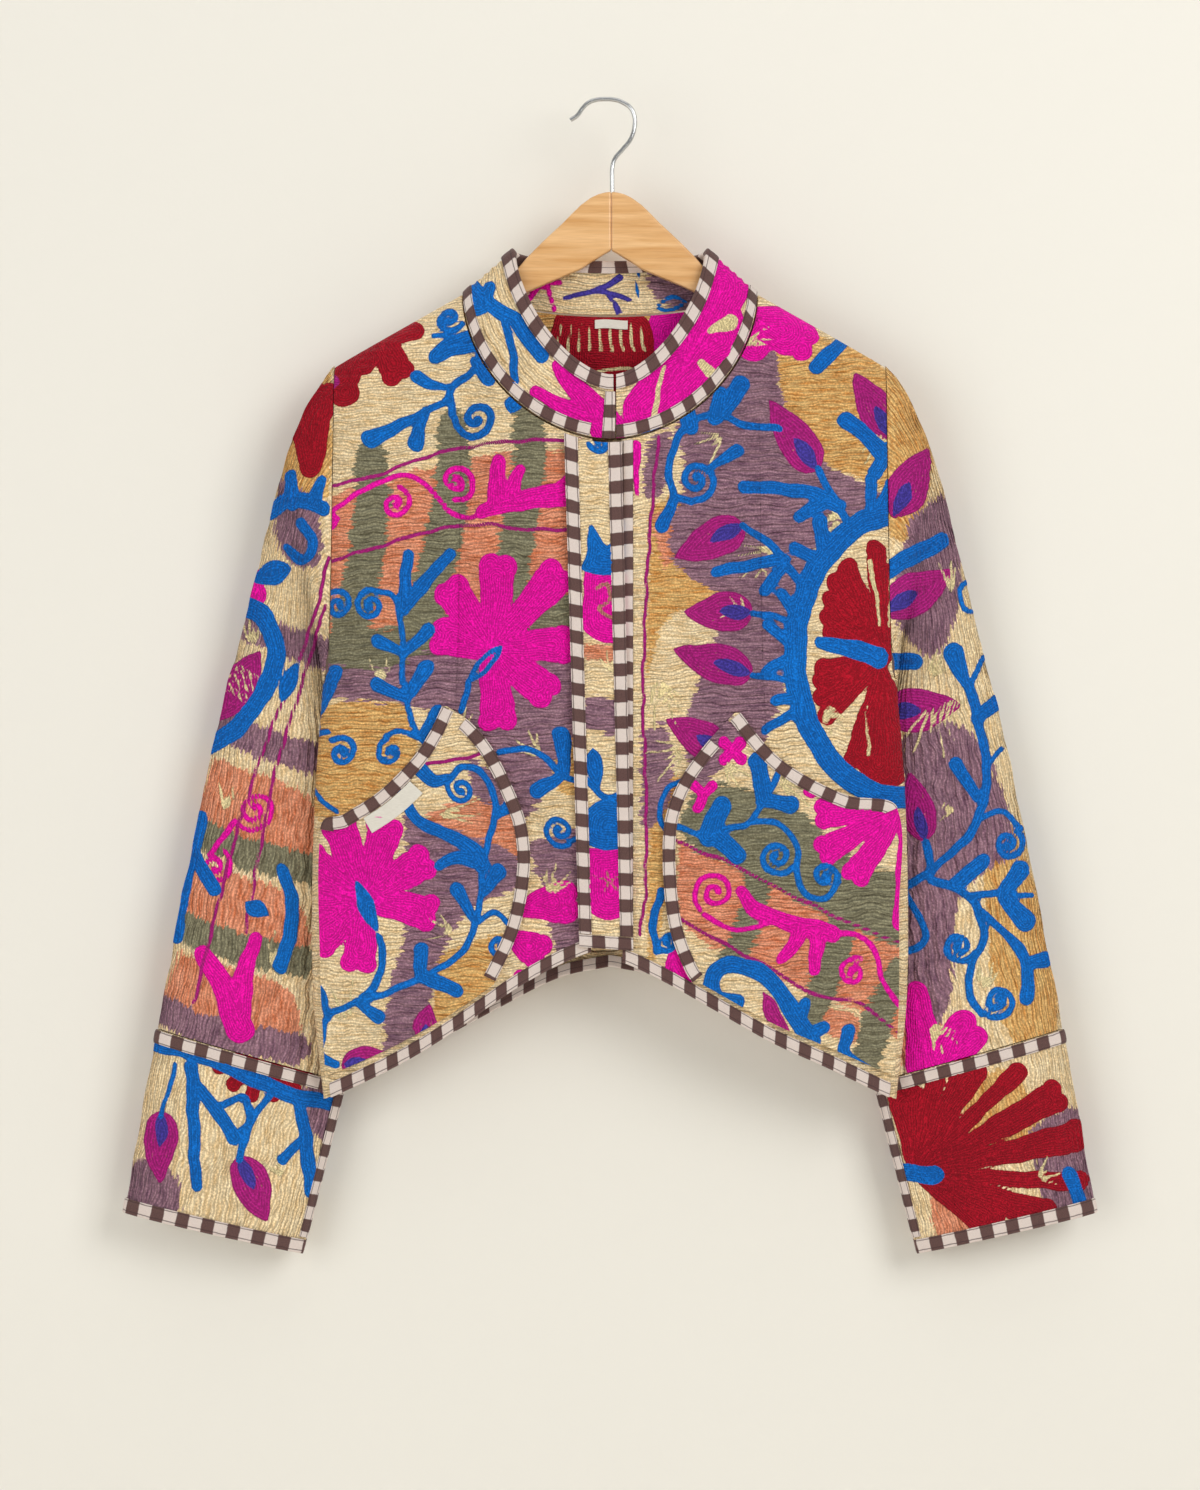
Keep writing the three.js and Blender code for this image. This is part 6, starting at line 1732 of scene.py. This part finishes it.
def satin_ribbon():
    made = new_material("satin_ribbon")
    tree = made.node_tree
    place = object_place(tree)
    fine = add_node(tree, "ShaderNodeMapping", {"Vector": place, "Scale": (300, 300, 3000)}).outputs[0]
    threads = noise(tree, fine, 1.0)
    worn = noise(tree, place, 90.0)
    colour = blend_colours(tree, threads, srgb("#c9c3b6"), srgb("#ece8dd"))
    colour = blend_colours(tree, math_node(tree, "MULTIPLY", worn, 0.3), colour, srgb("#b4ab9a"))
    bump = add_node(tree, "ShaderNodeBump", {"Height": threads, "Strength": 0.4, "Distance": 0.0002})
    return finish_material(made, Base_Color=colour, Roughness=0.5, Sheen_Weight=0.2, Normal=bump.outputs[0])


SATIN_RIBBON = satin_ribbon()


def label(name, node, at, columns, rows):
    """A tab with rounded edges: a grid thickened by a modifier, at(u, v) giving its outer face in mm."""
    u, v = np.meshgrid(np.linspace(0, 1, columns + 1), np.linspace(0, 1, rows + 1))
    places = at(u, v)
    faces = [(r * (columns + 1) + c, r * (columns + 1) + c + 1, (r + 1) * (columns + 1) + c + 1,
              (r + 1) * (columns + 1) + c) for r in range(rows) for c in range(columns)]
    piece = new_piece(name, places, faces, {})
    thick = piece.modifiers.new("thickness", "SOLIDIFY")
    thick.thickness = RIBBON_THICK / 1000
    thick.offset = 0.0
    bpy.ops.object.modifier_apply(modifier=thick.name)
    edges = piece.modifiers.new("soft edges", "BEVEL")
    edges.width, edges.segments, edges.angle_limit = 0.0002, 2, math.radians(60)
    bpy.ops.object.modifier_apply(modifier=edges.name)
    face_outwards(40)
    piece.data.materials.append(SATIN_RIBBON)
    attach(piece, "root")
    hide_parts(node)


def neck_tab_at(u, v):
    x = between(NECK_TAB["left"], NECK_TAB["right"], u)
    z = between(NECK_TAB["top"], NECK_TAB["foot"], v) + 0.5 * np.sin(u * 5)
    return on_body(np.arcsin(x / body_half(z)), z, 1, -CLOTH - 0.9 + 0.2 * np.sin(u * 7))


label("neck_tab", "neck_label", neck_tab_at, 20, 6)
POCKET_STRIP = beside("right", "side", 1, 0.285, 0.435)
label("pocket_tab", "pocket_label", lambda u,
      v: POCKET_STRIP(u, between(10.5, 24, v), 1.0 + 0.15 * np.sin(u * 9)),
      40, 10)

# The room: a pale wall behind, a pale floor far below, and soft studio light from both sides and above.
WALL_Y = 0.055
FLOOR_Z = -1.6


def pale_paint(name, code):
    made = new_material(name)
    tree = made.node_tree
    rolled = noise(tree, object_place(tree), 180.0)
    bump = add_node(tree, "ShaderNodeBump", {"Height": rolled, "Strength": 0.15, "Distance": 0.0006})
    return finish_material(made, Base_Color=srgb(code), Roughness=0.9, Specular_IOR_Level=0.1,
                           Normal=bump.outputs[0])


def see_through_from_behind(made):
    """A wall that only shows its front and stops no light, so that the jacket can be looked at from behind."""
    tree = made.node_tree
    shader = next(n for n in tree.nodes if n.type == "BSDF_PRINCIPLED")
    out = next(n for n in tree.nodes if n.type == "OUTPUT_MATERIAL")
    back = add_node(tree, "ShaderNodeNewGeometry").outputs["Backfacing"]
    clear = add_node(tree, "ShaderNodeBsdfTransparent")
    passing = add_node(tree, "ShaderNodeLightPath").outputs["Is Shadow Ray"]
    mix = add_node(tree, "ShaderNodeMixShader", {0: math_node(tree, "MAXIMUM", back, passing)})
    tree.links.new(shader.outputs[0], mix.inputs[1])
    tree.links.new(clear.outputs[0], mix.inputs[2])
    tree.links.new(mix.outputs[0], out.inputs[0])
    return made


def backdrop(name, size, place, turn, made):
    deselect_everything()
    bpy.ops.mesh.primitive_plane_add(size=size, location=place, rotation=turn)
    plane = bpy.context.object
    plane.name = name
    bpy.ops.object.transform_apply(location=True, rotation=True, scale=True)
    plane.data.materials.append(made)


backdrop("floor", 12.0, (0, 0, FLOOR_Z), (0, 0, 0), pale_paint("floor_paint", "#ece8e0"))
backdrop("wall", 9.0, (0, WALL_Y, -0.5), (math.pi / 2, 0, 0),
         see_through_from_behind(pale_paint("wall_paint", "#e9e6dd")))


def soft_light(name, place, towards, size, power):
    deselect_everything()
    bpy.ops.object.light_add(type="AREA", location=place)
    light = bpy.context.object
    light.name = name
    light.data.energy = power
    light.data.shape = "RECTANGLE"
    light.data.size, light.data.size_y = size
    way = [t - p for t, p in zip(towards, place)]
    flat = math.hypot(way[0], way[1])
    light.rotation_euler = (math.atan2(flat, -way[2]), 0, math.atan2(way[1], way[0]) - math.pi / 2)


MIDDLE = (0.0, 0.0, -0.5)
soft_light("window", (1.9, -2.7, 0.8), MIDDLE, (1.8, 1.8), 60)
soft_light("room", (-2.2, -3.0, -0.3), MIDDLE, (2.4, 2.4), 40)
soft_light("ceiling", (0.0, -1.2, 2.2), MIDDLE, (2.6, 2.0), 12)
soft_light("behind", (-1.2, 2.6, 0.8), MIDDLE, (2.4, 2.4), 44)
sky = bpy.data.worlds.new("room_light")
bpy.context.scene.world = sky
sky.use_nodes = True
sky.node_tree.nodes["Background"].inputs["Color"].default_value = (1.0, 0.985, 0.96, 1)
sky.node_tree.nodes["Background"].inputs["Strength"].default_value = 0.33
bpy.context.scene.view_settings.view_transform = "Standard"

# The camera stands level with the jacket's middle, three metres off, with the photograph's upright frame.
IMAGE_HIGH = 1490
MM_PER_PIXEL = 0.78
CAMERA_AWAY = 3.0
CAMERA_X, CAMERA_Z = -0.0039, -0.507
GARMENT_FRONT = -0.03
deselect_everything()
bpy.ops.object.camera_add(location=(CAMERA_X, GARMENT_FRONT - CAMERA_AWAY, CAMERA_Z),
                          rotation=(math.pi / 2, 0, 0))
camera = bpy.context.object
camera.data.sensor_fit = "VERTICAL"
camera.data.sensor_height = 24.0
camera.data.lens = camera.data.sensor_height * CAMERA_AWAY / (IMAGE_HIGH * MM_PER_PIXEL / 1000)
camera.data.clip_start = 0.1
bpy.context.scene.camera = camera
